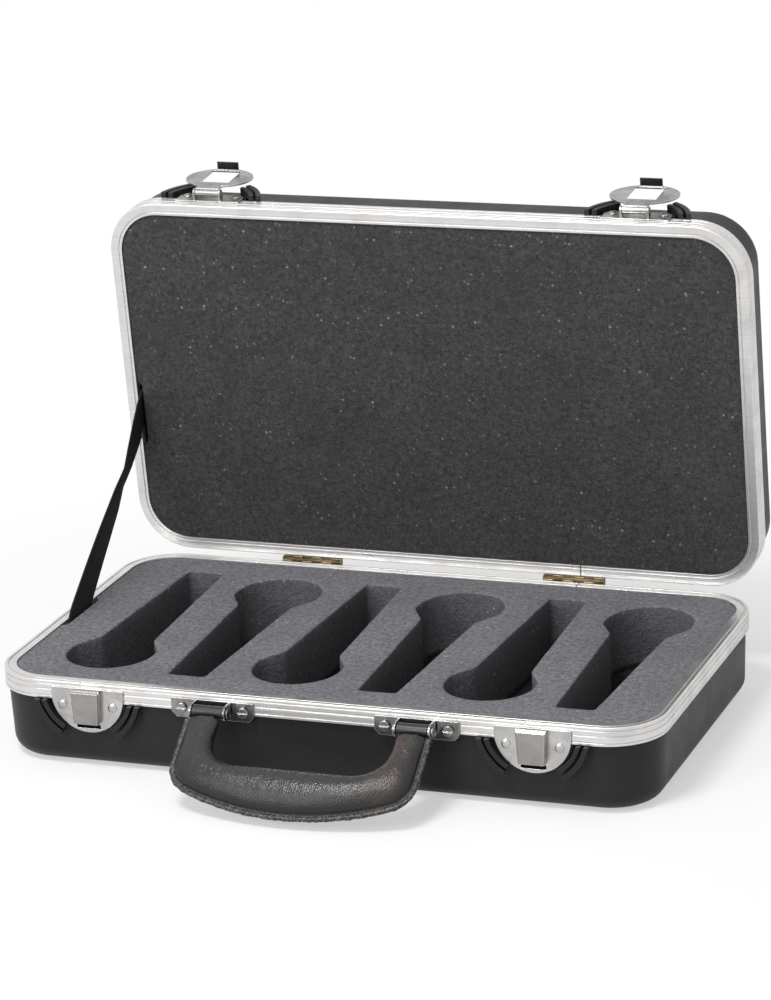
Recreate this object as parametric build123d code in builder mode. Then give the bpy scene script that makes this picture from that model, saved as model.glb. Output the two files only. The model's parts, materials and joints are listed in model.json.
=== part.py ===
"""Moulded microphone case with six foam pockets, a framed lid, two hasp latches and a carrying handle.

Millimetres, +Z up. The origin is the centre of the base's underside, X runs along the hinge line and
-Y is the front. The lid stands open against its stay, the hasps are turned back and the handle lies
on the ground in front of the case.
"""

import os
from math import acos, atan2, cos, degrees, hypot, radians, sin, tan

from build123d import *

os.makedirs("parts", exist_ok=True)

# ---- Case body ------------------------------------------------------------------------------------
inner_width = 385.0  # inside the rim, left to right
inner_depth = 212.0  # inside the rim, front to back
inner_corner_radius = 25.5
rim_width = 7.2  # flat face of the aluminium frame
base_height = 52.5  # ground under the feet to the base's rim face
lid_height = 41.5  # lid's rim face to its top
parting_gap = 0.6  # between the two rim faces when the case is shut
seat_gap = 0.1  # between pieces that are fastened face to face
soft_gap = 0.3  # around foam and webbing

shell_wall = 3.0
shell_inset = 1.7  # shell's outer face behind the frame's outer face, at the rim
shell_draft = 2.0  # degrees
shell_edge_radius = 10.0
foot_radius = 8.0
foot_height = 1.0
foot_edge_radius = 0.4
foot_inset = 30.0  # corner foot's centre inside the frame's inner edge

# ---- Aluminium frame ------------------------------------------------------------------------------
frame_sheet = 1.4
frame_lip_sheet = 1.2
frame_lip_height = 5.5
base_skirt_height = 11.0
lid_skirt_height = 12.0
frame_edge_radius = 0.8
groove_depth = 0.4
base_face_groove = (4.3, 5.0)  # distances from the frame's inner edge
lid_face_groove = (1.6, 2.1)
skirt_grooves = ((1.9, 2.4), (5.0, 5.7), (9.2, 9.6))  # distances from the rim face
frame_joint_x = 87.0  # butt joint of the bent frame, at the back
frame_joint_gap = 0.5
latch_notch_width = 9.0  # in the base frame's front edge, above each latch
latch_notch_depth = 1.0

# ---- Foam -----------------------------------------------------------------------------------------
base_foam_recess = 0.7  # foam's face below the rim face
lid_foam_recess = 1.0
foam_pad_thickness = 9.3  # the upper foam layer, cut right through, takes the rest of the depth
pocket_offset_x = 1.6
pocket_length = 170.0
pocket_offset_y = -1.0
pocket_count = 6
pocket_side_margin = 20.75  # outer heads to the frame's inner edge, on average
head_radius = 26.0
shoulder_drop = 34.0  # head's round end to the start of the shoulder
neck_drop = 50.0  # head's round end to the end of the shoulder
neck_half_width = 16.5
tail_half_width = 11.3
shoulder_round = 8.0
foam_chamfer = 5.0

# ---- Lid hinges and stay --------------------------------------------------------------------------
lid_open_angle = 84.8  # degrees from shut
hinge_offset = 2.4  # pin axis behind the frame's rear face
hinge_inset = 108.0  # hinge's centre to the frame's inner edge, on average
hinge_length = 38.5
hinge_leaf_height = 10.2
hinge_sheet = 1.0
knuckle_radius = 2.1
knuckle_count = 6
knuckle_gap = 0.2
hinge_pin_radius = 1.0
running_clearance = 0.05
hinge_clear = 0.3
hinge_rivet_pitch = 24.0
hinge_rivet_drop = 7.6
small_rivet_head_radius = 1.7
small_rivet_head_height = 0.7
small_rivet_radius = 1.0

strap_width = 25.0
strap_thickness = 1.0
strap_wall_gap = 0.2  # webbing inside the frame's inner face
strap_base_y = -6.6  # base anchor
strap_lid_reach = 85.5  # lid anchor, up the lid from its inner rear edge
strap_tuck = 22.0  # how far the webbing goes down behind the foam
strap_bend_depth = 7.0  # bend's corner inside each rim face
strap_bend_radius = 16.0
strap_pocket_depth = 3.3
strap_pocket_margin = 2.0
strap_rivet_drop = 16.0
strap_rivet_head_radius = 4.5
strap_rivet_head_height = 1.0
strap_rivet_radius = 1.6
strap_rivet_tail_radius = 3.0

# ---- Latches --------------------------------------------------------------------------------------
hardware_offset = -1.9  # hinges and latches, off the case's centre line
latch_share = 0.5886  # latch's place between its handle plate's end and the corner's start, from 0 to 1
plate_sheet = 1.0
latch_plate_top = 3.2  # below the rim face
latch_plate_bottom = 29.4
latch_plate_radius = 22.3
latch_rivet_pitch = 31.0
latch_rivet_drop = 13.4
latch_rivet_head_radius = 2.7
latch_rivet_head_height = 1.1
latch_rivet_radius = 1.5
rivet_tail_spread = 0.8  # tail wider than the shank, all round
rivet_tail_height = 0.8
rivet_rim_share = 0.35  # dome's straight rim, as a share of the head's height
rivet_dome_at = (0.6, 0.82)  # point on the dome, as shares of the head's radius and height

lever_width_top = 17.5
lever_width_bottom = 15.0
lever_top = 3.2
lever_bottom = 23.2
lever_front = 5.4  # lever's face off the frame's outer face
lever_wall = 1.0
lever_top_wall = 0.6
lever_top_setback = 1.7  # bevel from the lever's face back to its top edge
lever_bevel = 1.5
lever_edge_chamfer = 0.6
lever_pivot_drop = 5.6
lever_pivot_stand_off = 2.7
lever_pin_radius = 0.8
lever_clear = 0.2
lever_relief_drop = 5.8  # below the rim face, where the lever's back edge starts to lean out
lever_relief = 1.1  # how far it leans out at the top
lever_ear_spread = 12.0
lever_ear_sheet = 1.0
lever_ear_radius = 1.4
lever_ear_half_base = 0.9
spring_wire_radius = 0.2
spring_mean_radius = 1.1
spring_pitch = 0.85
spring_turns = 10

hook_slot_top = 24.4
hook_slot_bottom = 27.0
hook_slot_width = 14.8
hook_slot_depth = 2.4  # into the shell's pad

pad_margin = 1.2
pad_depth = 3.5
bumper_radii = ((26.4, 29.0), (30.8, 33.6))
bumper_height = 3.2  # above the frame's outer face
bumper_gap_half_angle = 32.0  # opening at the bottom of the ring

# ---- Hasps on the lid -----------------------------------------------------------------------------
hasp_pivot_rise = 8.3  # beyond the lid's rim face
hasp_pivot_stand_off = 5.5
hasp_knuckle_radius = 2.2
hasp_pin_radius = 1.0
hasp_neck_width = 17.5
hasp_disc_centre = 20.3  # from the pivot
hasp_disc_half_length = 16.2
hasp_disc_half_width = 21.0
hasp_window_width = 18.5
hasp_window_start = 11.5  # from the pivot
hasp_window_end = 32.6
hasp_hook_distance = 34.0  # from the pivot to the hook's inner face
hasp_hook_width = 13.6
hasp_hook_sheet = 1.0
hasp_hook_reach = 6.0  # from the hasp's face
hasp_sheet = 1.0
hasp_face_offset = 2.7  # hasp's face from the pivot axis
hasp_side_clear = 0.2
hasp_bracket_width = 41.0
hasp_bracket_start = 5.6  # from the lid's rim face
hasp_bracket_end = 17.6
hasp_bracket_round = 4.6
hasp_ear_sheet = 1.1
hasp_ear_radius = 2.4
hasp_rivet_pitch = 31.0
hasp_rivet_rise = 14.4

# ---- Handle ---------------------------------------------------------------------------------------
handle_offset = 3.1  # handle off the case's centre line
bracket_spread = 0.31844  # spacing of the handle plates, as a share of the inner width
bracket_width = 50.0
bracket_top = 3.4  # below the rim face
bracket_height = 11.2
bracket_sheet = 1.2
bracket_chamfer = 3.0
ear_spread = 19.2  # between the ears' inner faces
ear_radius = 4.4
handle_pivot_drop = 8.5
handle_pivot_stand_off = 6.0
handle_pin_radius = 1.75
handle_pin_head_radius = 2.7
handle_pin_head_height = 0.9
screw_pitch = 37.6
screw_drop = 8.8  # below the rim face
screw_head_radius = 3.3
screw_head_height = 1.7
screw_edge_radius = 1.0
screw_slot_width = 0.9
screw_slot_depth = 0.9
screw_radius = 1.5
nut_radius = 2.9
nut_height = 2.0

grip_outer_stand = 9.7  # from the arm's plate, outward to the grip's side
grip_inner_stand = 8.0  # and inward to the finger opening
grip_start = 5.6  # from the pivot to the top of the moulded arms
grip_bottom = 62.6
grip_shoulder = 46.0  # where the bottom curve meets the outer sides
grip_inner_bottom = 35.0
grip_outer_radius = 20.0
grip_inner_radius = 19.0
grip_half_thickness = 11.5  # at the bottom
grip_arm_half_thickness = 4.6  # at the arms' ends
grip_outer_fillet = 4.0
grip_inner_fillet = 3.0
fin_reach = 3.2
fin_half_thickness = 1.4
core_half_width = 4.0
core_half_thickness = 1.5
core_bottom = 49.0
core_corner_radius = 16.0
core_eye_radius = 3.9
core_eye_half_length = 9.0
core_gap = 0.15
ground_clearance = 0.15

# ---- Derived places -------------------------------------------------------------------------------
outer_depth = inner_depth + 2 * rim_width
front_y = -outer_depth / 2
hinge_y = outer_depth / 2 + hinge_offset
hinge_z = base_height + parting_gap / 2
open_sin = sin(radians(lid_open_angle))
open_cos = cos(radians(lid_open_angle))
overlap = 1.0  # cutters reach this far past what they cut
shell_bottom_height = base_height - foot_height - seat_gap  # rim face to the shell's underside
pad_start = shell_bottom_height - shell_wall - soft_gap - foam_pad_thickness
pocket_depth = pad_start - seat_gap - base_foam_recess
head_margins = 2 * (pocket_side_margin + head_radius)
pocket_pitch = (inner_width - head_margins) / (pocket_count - 1)
hinge_pitch = inner_width - 2 * hinge_inset
bracket_pitch = inner_width * bracket_spread
bracket_end = (bracket_pitch + bracket_width) / 2
latch_pitch = 2 * (bracket_end + latch_share * (inner_width / 2 - inner_corner_radius - bracket_end))
grip_half_width = bracket_pitch / 2 + grip_outer_stand
grip_inner_half_width = bracket_pitch / 2 - grip_inner_stand

latch_xs = {"left": hardware_offset - latch_pitch / 2, "right": hardware_offset + latch_pitch / 2}
hinge_xs = {"left": hardware_offset - hinge_pitch / 2, "right": hardware_offset + hinge_pitch / 2}
bracket_xs = {"left": handle_offset - bracket_pitch / 2, "right": handle_offset + bracket_pitch / 2}

# The base frame's origin is the centre of its rim face. The lid frame is the same face of the lid,
# turned about the hinge axis from its shut place to its open one, and its Z runs into the lid.
base_frame = Plane(origin=(0, 0, base_height), x_dir=(1, 0, 0), z_dir=(0, 0, 1))
lid_frame = Plane(
    origin=(
        0,
        hinge_y - hinge_y * open_cos + parting_gap / 2 * open_sin,
        hinge_z + hinge_y * open_sin + parting_gap / 2 * open_cos,
    ),
    x_dir=(1, 0, 0),
    z_dir=(0, open_sin, open_cos),
)


def place(frame, x, y, z):
    """Return the point (x, y, z) of a frame."""
    return frame.from_local_coords(Vector(x, y, z))


def rim_plane(frame, side, drop=0.0):
    """Return the plane parallel to a rim face, drop inside the half, facing away from the rim."""
    return Plane(origin=place(frame, 0, 0, side * drop), x_dir=frame.x_dir, z_dir=frame.z_dir * side)


def wall_plane(frame, x, z, stand_off):
    """Return a plane on the front wall: X to the right, Y away from the ground, facing outwards."""
    return Plane(origin=place(frame, x, front_y - stand_off, z), x_dir=frame.x_dir, z_dir=-frame.y_dir)


def rear_plane(frame, x, z, stand_off):
    """Return a plane on the rear wall, facing outwards."""
    return Plane(origin=place(frame, x, -front_y + stand_off, z), x_dir=-frame.x_dir, z_dir=frame.y_dir)


def cross_plane(frame, x, y, z):
    """Return a plane across the case: X to the back, Y up, facing right."""
    return Plane(origin=place(frame, x, y, z), x_dir=frame.y_dir, z_dir=frame.x_dir)


def rim_outline(outset, mode=Mode.ADD):
    """Add the case's rounded outline, outset from the frame's inner edge, to the open sketch."""
    RectangleRounded(
        inner_width + 2 * outset, inner_depth + 2 * outset, inner_corner_radius + outset, mode=mode
    )


def save(builder, label):
    """Label a finished piece and write its STEP file."""
    builder.part.label = label
    export_step(builder.part, f"parts/{label}.step")


def wall_set_back(drop):
    """Return how far the drafted wall's outer face lies behind the frame's, drop from the rim face."""
    return shell_inset + (drop - frame_sheet - soft_gap) * tan(radians(shell_draft))


def stay_point(frame, y, z):
    """Return the upright plane's coordinates, to the back and up, of a point given in a frame."""
    point = place(frame, 0, y, z)
    return (point.Y, point.Z)


# The webbing runs straight between its two bends, one inside each rim face. Its tilt is measured from
# the direction straight into each half.
strap_lid_y = inner_depth / 2 - strap_lid_reach
strap_base_bend = stay_point(base_frame, strap_base_y, -strap_bend_depth)
strap_lid_bend = stay_point(lid_frame, strap_lid_y, strap_bend_depth)
strap_base_tilt = atan2(strap_lid_bend[0] - strap_base_bend[0], strap_lid_bend[1] - strap_base_bend[1])
strap_lid_tilt = radians(lid_open_angle) - strap_base_tilt


# ---- Handle rest angle ----------------------------------------------------------------------------
# The grip is a wedge, thicker towards its bottom. Its lower corner is a rounding whose centre lies at
# corner_reach along the arms and corner_offset across them. The handle turns forward until that
# rounding meets the ground.
pivot_height = base_height - handle_pivot_drop
wedge_angle = atan2(grip_half_thickness - grip_arm_half_thickness, grip_bottom - grip_start)
corner_reach = grip_bottom - grip_outer_fillet
corner_offset = grip_half_thickness - grip_outer_fillet * (tan(wedge_angle) + 1 / cos(wedge_angle))
handle_rest_angle = degrees(
    atan2(corner_offset, corner_reach)
    + acos((pivot_height - grip_outer_fillet - ground_clearance) / hypot(corner_reach, corner_offset))
)
rest_sin = sin(radians(handle_rest_angle))
rest_cos = cos(radians(handle_rest_angle))
handle_frame = Plane(
    origin=(handle_offset, front_y - handle_pivot_stand_off, pivot_height),
    x_dir=(1, 0, 0),
    z_dir=(0, -rest_cos, rest_sin),
)


# ---- Moulded shells -------------------------------------------------------------------------------
def build_shell(frame, side, height, skirt_height, anchor_y):
    """Return one moulded half: a drafted tub with latch pads, bumpers and fastener holes."""
    tub_plane = rim_plane(frame, side, frame_sheet + soft_gap)
    tub_height = height - frame_sheet - soft_gap
    depth_axis = Axis(tub_plane.origin, tub_plane.z_dir)

    with BuildPart() as cavity:
        with BuildSketch(tub_plane):
            rim_outline(rim_width - shell_inset - shell_wall)
        extrude(amount=tub_height - shell_wall, taper=shell_draft)
        fillet(cavity.faces().sort_by(depth_axis)[-1].edges(), shell_edge_radius - shell_wall)

    with BuildPart() as shell:
        with BuildSketch(tub_plane):
            rim_outline(rim_width - shell_inset)
        extrude(amount=tub_height, taper=shell_draft)
        fillet(shell.faces().sort_by(depth_axis)[-1].edges(), shell_edge_radius)
        skirt_edge = skirt_height + soft_gap
        for latch_x in latch_xs.values():
            # The pad brings the wall out level with the frame, behind the latch or hasp plate.
            pad_end = (latch_plate_bottom if side < 0 else hasp_bracket_end) + pad_margin
            pad_width = (2 * latch_plate_radius if side < 0 else hasp_bracket_width) + 2 * pad_margin
            with BuildSketch(wall_plane(frame, latch_x, 0, -seat_gap)):
                with Locations((0, side * (skirt_edge + pad_end) / 2)):
                    Rectangle(pad_width, pad_end - skirt_edge)
                if side < 0:
                    with Locations((0, pad_width / 2 - pad_end)):
                        Circle(pad_width / 2, mode=Mode.INTERSECT)
            extrude(amount=-pad_depth)
            for inner_radius, outer_radius in bumper_radii:
                with BuildSketch(wall_plane(frame, latch_x, 0, bumper_height)):
                    with Locations((0, side * latch_plate_top)):
                        Circle(outer_radius)
                        Circle(inner_radius, mode=Mode.SUBTRACT)
                    with Locations((0, side * (skirt_edge - 2 * outer_radius))):
                        Rectangle(4 * outer_radius, 4 * outer_radius, mode=Mode.SUBTRACT)
                    gap_reach = 2 * outer_radius
                    gap_half_width = gap_reach * sin(radians(bumper_gap_half_angle))
                    gap_height = gap_reach * cos(radians(bumper_gap_half_angle))
                    with BuildLine():
                        Polyline(
                            (0, side * latch_plate_top),
                            (gap_half_width, side * (latch_plate_top + gap_height)),
                            (-gap_half_width, side * (latch_plate_top + gap_height)),
                            close=True,
                        )
                    make_face(mode=Mode.SUBTRACT)
                extrude(amount=-bumper_height - pad_depth)
        add(cavity.part, mode=Mode.SUBTRACT)
        rivet_rise = latch_rivet_drop if side < 0 else hasp_rivet_rise
        rivet_pitch = latch_rivet_pitch if side < 0 else hasp_rivet_pitch
        wall_reach = shell_inset + shell_wall + pad_depth
        for latch_x in latch_xs.values():
            with BuildSketch(wall_plane(frame, latch_x, side * rivet_rise, 0)):
                with GridLocations(rivet_pitch, 0, 2, 1):
                    Circle(latch_rivet_radius + seat_gap)
            extrude(amount=-wall_reach, mode=Mode.SUBTRACT)
        for hinge_x in hinge_xs.values():
            with BuildSketch(rear_plane(frame, hinge_x, side * hinge_rivet_drop, 0)):
                with GridLocations(hinge_rivet_pitch, 0, 2, 1):
                    Circle(small_rivet_radius + seat_gap)
            extrude(amount=-wall_reach, mode=Mode.SUBTRACT)
        with BuildSketch(cross_plane(frame, -inner_width / 2, anchor_y, side * strap_rivet_drop)):
            Circle(strap_rivet_radius + seat_gap)
        extrude(amount=-rim_width, mode=Mode.SUBTRACT)
        if side < 0:
            for latch_x in latch_xs.values():
                with BuildSketch(wall_plane(frame, latch_x, -(hook_slot_top + hook_slot_bottom) / 2, 0)):
                    Rectangle(hook_slot_width, hook_slot_bottom - hook_slot_top)
                extrude(amount=-hook_slot_depth, mode=Mode.SUBTRACT)
            for bracket_x in bracket_xs.values():
                with BuildSketch(wall_plane(frame, bracket_x, -screw_drop, 0)):
                    with GridLocations(screw_pitch, 0, 2, 1):
                        Circle(screw_radius + seat_gap)
                extrude(amount=-wall_reach, mode=Mode.SUBTRACT)
    return shell


base_shell = build_shell(base_frame, -1, shell_bottom_height, base_skirt_height, strap_base_y)
save(base_shell, "base_shell")
lid_shell = build_shell(lid_frame, 1, lid_height, lid_skirt_height, strap_lid_y)
save(lid_shell, "lid_shell")

with BuildPart() as base_feet:
    with BuildSketch():
        Circle(foot_radius)
        with GridLocations(inner_width - 2 * foot_inset, inner_depth - 2 * foot_inset, 2, 2):
            Circle(foot_radius)
    extrude(amount=foot_height)
    fillet(base_feet.edges().group_by(Axis.Z)[0], foot_edge_radius)
save(base_feet, "base_feet")


# ---- Aluminium frames -----------------------------------------------------------------------------
def build_valance(frame, side, skirt_height, face_groove):
    """Return one bent aluminium frame: rim face, outer skirt and inner lip around the shell's wall."""
    face_plane = rim_plane(frame, side)
    depth_axis = Axis(face_plane.origin, face_plane.z_dir)
    with BuildPart() as valance:
        with BuildSketch(face_plane):
            rim_outline(rim_width)
            rim_outline(0, mode=Mode.SUBTRACT)
        extrude(amount=frame_sheet)
        with BuildSketch(face_plane):
            rim_outline(rim_width)
            rim_outline(rim_width - frame_sheet, mode=Mode.SUBTRACT)
        extrude(amount=skirt_height)
        with BuildSketch(face_plane):
            rim_outline(frame_lip_sheet)
            rim_outline(0, mode=Mode.SUBTRACT)
        extrude(amount=frame_lip_height)
        fillet(valance.faces().sort_by(depth_axis)[0].outer_wire().edges(), frame_edge_radius)
        with BuildSketch(face_plane):
            rim_outline(face_groove[1])
            rim_outline(face_groove[0], mode=Mode.SUBTRACT)
        extrude(amount=groove_depth, mode=Mode.SUBTRACT)
        for start, end in skirt_grooves:
            with BuildSketch(rim_plane(frame, side, start)):
                rim_outline(rim_width + overlap)
                rim_outline(rim_width - groove_depth, mode=Mode.SUBTRACT)
            extrude(amount=end - start, mode=Mode.SUBTRACT)
        with BuildSketch(face_plane.offset(-overlap)):
            with Locations((frame_joint_x, side * (inner_depth + rim_width) / 2)):
                Rectangle(frame_joint_gap, rim_width + 2 * overlap)
        extrude(amount=skirt_height + 2 * overlap, mode=Mode.SUBTRACT)
        for hinge_x in hinge_xs.values():
            with BuildSketch(rear_plane(frame, hinge_x, side * hinge_rivet_drop, overlap)):
                with GridLocations(hinge_rivet_pitch, 0, 2, 1):
                    Circle(small_rivet_radius + seat_gap)
            extrude(amount=-overlap - frame_sheet - seat_gap, mode=Mode.SUBTRACT)
        if side < 0:
            for bracket_x in bracket_xs.values():
                with BuildSketch(wall_plane(frame, bracket_x, -screw_drop, overlap)):
                    with GridLocations(screw_pitch, 0, 2, 1):
                        Circle(screw_radius + seat_gap)
                extrude(amount=-overlap - frame_sheet - seat_gap, mode=Mode.SUBTRACT)
            for latch_x in latch_xs.values():
                with BuildSketch(wall_plane(frame, latch_x, 0, overlap)):
                    Rectangle(latch_notch_width, 2 * latch_notch_depth)
                extrude(amount=-overlap - latch_notch_depth, mode=Mode.SUBTRACT)
    return valance


base_valance = build_valance(base_frame, -1, base_skirt_height, base_face_groove)
save(base_valance, "base_valance")
lid_valance = build_valance(lid_frame, 1, lid_skirt_height, lid_face_groove)
save(lid_valance, "lid_valance")


# ---- Foam -----------------------------------------------------------------------------------------
def cut_strap_pocket(frame, side, anchor_y, tilt):
    """Cut room for the webbing and its rivet head from the foam being built."""
    pocket_low = anchor_y - strap_width / 2 - strap_pocket_margin
    rim_y = anchor_y + strap_bend_depth * tan(tilt)
    pocket_high = rim_y + strap_width / 2 / cos(tilt) + strap_pocket_margin
    with BuildSketch(rim_plane(frame, side)) as strap_pocket:
        centre_x = -inner_width / 2 + (strap_pocket_depth - overlap) / 2
        with Locations((centre_x, side * (pocket_low + pocket_high) / 2)):
            Rectangle(strap_pocket_depth + overlap, pocket_high - pocket_low)
    extrude(strap_pocket.sketch, amount=strap_tuck + strap_pocket_margin, mode=Mode.SUBTRACT)


def pocket_profile(centre_x, direction):
    """Add one microphone outline to the open sketch, its head at the end that direction points to."""
    head_end = pocket_offset_y + direction * pocket_length / 2
    neck_y = head_end - direction * neck_drop
    tail_y = head_end - direction * pocket_length
    with BuildLine() as outline:
        Polyline(
            (centre_x - head_radius, head_end - direction * head_radius),
            (centre_x - head_radius, head_end - direction * shoulder_drop),
            (centre_x - neck_half_width, neck_y),
            (centre_x - tail_half_width, tail_y),
            (centre_x + tail_half_width, tail_y),
            (centre_x + neck_half_width, neck_y),
            (centre_x + head_radius, head_end - direction * shoulder_drop),
            (centre_x + head_radius, head_end - direction * head_radius),
        )
        ThreePointArc(
            (centre_x + head_radius, head_end - direction * head_radius),
            (centre_x, head_end),
            (centre_x - head_radius, head_end - direction * head_radius),
        )
    make_face(outline.edges())


def shoulder_points(sketch):
    """Return the open sketch's vertices at the pockets' shoulders and necks."""
    lows = (pocket_length / 2 - neck_drop - overlap, pocket_length / 2 - shoulder_drop + overlap)
    return [v for v in sketch.vertices() if lows[0] < abs(v.Y - pocket_offset_y) < lows[1]]


with BuildPart() as base_foam:
    with BuildSketch(rim_plane(base_frame, -1, base_foam_recess)):
        rim_outline(-soft_gap)
    extrude(amount=pocket_depth)
    with BuildSketch(base_frame) as pockets:
        for index in range(pocket_count):
            pocket_x = pocket_offset_x + (index - (pocket_count - 1) / 2) * pocket_pitch
            pocket_profile(pocket_x, -1 if index % 2 == 0 else 1)
        fillet(shoulder_points(pockets), shoulder_round)
    extrude(amount=-pocket_depth - base_foam_recess - overlap, mode=Mode.SUBTRACT)
    cut_strap_pocket(base_frame, -1, strap_base_y, strap_base_tilt)
save(base_foam, "base_foam")

with BuildPart() as base_foam_pad:
    with BuildSketch(rim_plane(base_frame, -1, pad_start)):
        rim_outline(-soft_gap)
    extrude(amount=foam_pad_thickness)
    chamfer(base_foam_pad.faces().sort_by(Axis.Z)[0].edges(), foam_chamfer)
save(base_foam_pad, "base_foam_pad")

with BuildPart() as lid_foam:
    with BuildSketch(rim_plane(lid_frame, 1, lid_foam_recess)):
        rim_outline(-soft_gap)
    extrude(amount=lid_height - shell_wall - soft_gap - lid_foam_recess)
    lid_depth_axis = Axis(lid_frame.origin, lid_frame.z_dir)
    chamfer(lid_foam.faces().sort_by(lid_depth_axis)[-1].edges(), foam_chamfer)
    cut_strap_pocket(lid_frame, 1, strap_lid_y, strap_lid_tilt)
save(lid_foam, "lid_foam")


# ---- Rivets ---------------------------------------------------------------------------------------
def rivet(seat, head_radius, head_height, shank_radius, grip, tail_radius, tail_height):
    """Add one domed rivet: its head stands on the seat plane and its tail sits grip behind it."""
    profile = Plane(origin=seat.origin, x_dir=seat.x_dir, z_dir=-seat.y_dir)
    edge = head_height * rivet_rim_share
    with BuildSketch(profile) as section:
        with BuildLine():
            ThreePointArc(
                (0, head_height),
                (head_radius * rivet_dome_at[0], head_height * rivet_dome_at[1]),
                (head_radius, edge),
            )
            Polyline(
                (head_radius, edge),
                (head_radius, 0),
                (shank_radius, 0),
                (shank_radius, -grip),
                (tail_radius, -grip),
                (tail_radius, -grip - tail_height),
                (0, -grip - tail_height),
                (0, head_height),
            )
        make_face()
    revolve(section.sketch, axis=Axis(seat.origin, seat.z_dir))


def wall_grip(drop, head_stand_off, tail_radius):
    """Return the length from a head's seat to the tail's seat inside the drafted wall."""
    return head_stand_off + wall_set_back(drop + tail_radius) + shell_wall + seat_gap


def build_rivets(seats, drop, head_stand_off, sizes):
    """Return rivets on the given seat planes, closed inside the wall at a distance from the rim."""
    head_radius, head_height, shank_radius = sizes
    tail_radius = shank_radius + rivet_tail_spread
    with BuildPart() as rivets:
        for seat in seats:
            rivet(
                seat,
                head_radius,
                head_height,
                shank_radius,
                wall_grip(drop, head_stand_off, tail_radius),
                tail_radius,
                rivet_tail_height,
            )
    return rivets


plate_face = seat_gap + plate_sheet
hinge_face = seat_gap + hinge_sheet
latch_rivet_sizes = (latch_rivet_head_radius, latch_rivet_head_height, latch_rivet_radius)
small_rivet_sizes = (small_rivet_head_radius, small_rivet_head_height, small_rivet_radius)


def rivet_seats(make_plane, frame, centres, pitch, z, stand_off):
    """Return the seat planes of a pair of rivets at each centre."""
    offsets = (-pitch / 2, pitch / 2)
    return [make_plane(frame, centre + offset, z, stand_off) for centre in centres for offset in offsets]


latch_rivets = build_rivets(
    rivet_seats(wall_plane, base_frame, latch_xs.values(), latch_rivet_pitch, -latch_rivet_drop, plate_face),
    latch_rivet_drop,
    plate_face,
    latch_rivet_sizes,
)
save(latch_rivets, "latch_rivets")
hasp_rivets = build_rivets(
    rivet_seats(wall_plane, lid_frame, latch_xs.values(), hasp_rivet_pitch, hasp_rivet_rise, plate_face),
    hasp_rivet_rise,
    plate_face,
    latch_rivet_sizes,
)
save(hasp_rivets, "hasp_rivets")
hinge_rivets_base = build_rivets(
    rivet_seats(rear_plane, base_frame, hinge_xs.values(), hinge_rivet_pitch, -hinge_rivet_drop, hinge_face),
    hinge_rivet_drop,
    hinge_face,
    small_rivet_sizes,
)
save(hinge_rivets_base, "hinge_rivets_base")
hinge_rivets_lid = build_rivets(
    rivet_seats(rear_plane, lid_frame, hinge_xs.values(), hinge_rivet_pitch, hinge_rivet_drop, hinge_face),
    hinge_rivet_drop,
    hinge_face,
    small_rivet_sizes,
)
save(hinge_rivets_lid, "hinge_rivets_lid")


# ---- Hinges ---------------------------------------------------------------------------------------
def build_hinge_leaf(frame, side, hinge_x, first_knuckle):
    """Return one leaf: a plate on the frame's rear face and every second knuckle around the pin."""
    axis_z = -side * parting_gap / 2
    knuckle_pitch = hinge_length / knuckle_count
    plate_start = knuckle_radius + hinge_clear - parting_gap / 2
    with BuildPart() as leaf:
        with BuildSketch(rear_plane(frame, hinge_x, 0, seat_gap)):
            with Locations((0, side * (plate_start + hinge_leaf_height) / 2)):
                Rectangle(hinge_length, hinge_leaf_height - plate_start)
        extrude(amount=hinge_sheet)
        for index in range(first_knuckle, knuckle_count, 2):
            knuckle_x = hinge_x - hinge_length / 2 + (index + 0.5) * knuckle_pitch
            knuckle_length = knuckle_pitch - knuckle_gap
            with BuildSketch(cross_plane(frame, knuckle_x, -front_y, 0)):
                with Locations((hinge_offset, axis_z)):
                    Circle(knuckle_radius)
                with Locations((seat_gap + hinge_sheet / 2, (axis_z + side * plate_start) / 2)):
                    Rectangle(hinge_sheet, plate_start - side * axis_z)
            extrude(amount=knuckle_length / 2, both=True)
        with BuildSketch(cross_plane(frame, hinge_x, -front_y, 0)):
            with Locations((hinge_offset, axis_z)):
                Circle(hinge_pin_radius + running_clearance)
        extrude(amount=hinge_length, both=True, mode=Mode.SUBTRACT)
        with BuildSketch(rear_plane(frame, hinge_x, side * hinge_rivet_drop, 0)):
            with GridLocations(hinge_rivet_pitch, 0, 2, 1):
                Circle(small_rivet_radius + seat_gap)
        extrude(amount=hinge_face + overlap, mode=Mode.SUBTRACT)
    return leaf


for hand, hinge_x in hinge_xs.items():
    hinge_leaf_base = build_hinge_leaf(base_frame, -1, hinge_x, 0)
    save(hinge_leaf_base, f"hinge_leaf_base_{hand}")
    hinge_leaf_lid = build_hinge_leaf(lid_frame, 1, hinge_x, 1)
    save(hinge_leaf_lid, f"hinge_leaf_lid_{hand}")
    with BuildPart() as hinge_pin:
        with BuildSketch(Plane(origin=(hinge_x, hinge_y, hinge_z), x_dir=(0, 1, 0), z_dir=(1, 0, 0))):
            Circle(hinge_pin_radius)
        extrude(amount=hinge_length / 2, both=True)
    save(hinge_pin, f"hinge_pin_{hand}")


# ---- Lid stay -------------------------------------------------------------------------------------
strap_outer_x = -inner_width / 2 + strap_wall_gap
strap_inner_x = strap_outer_x + strap_thickness


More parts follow.
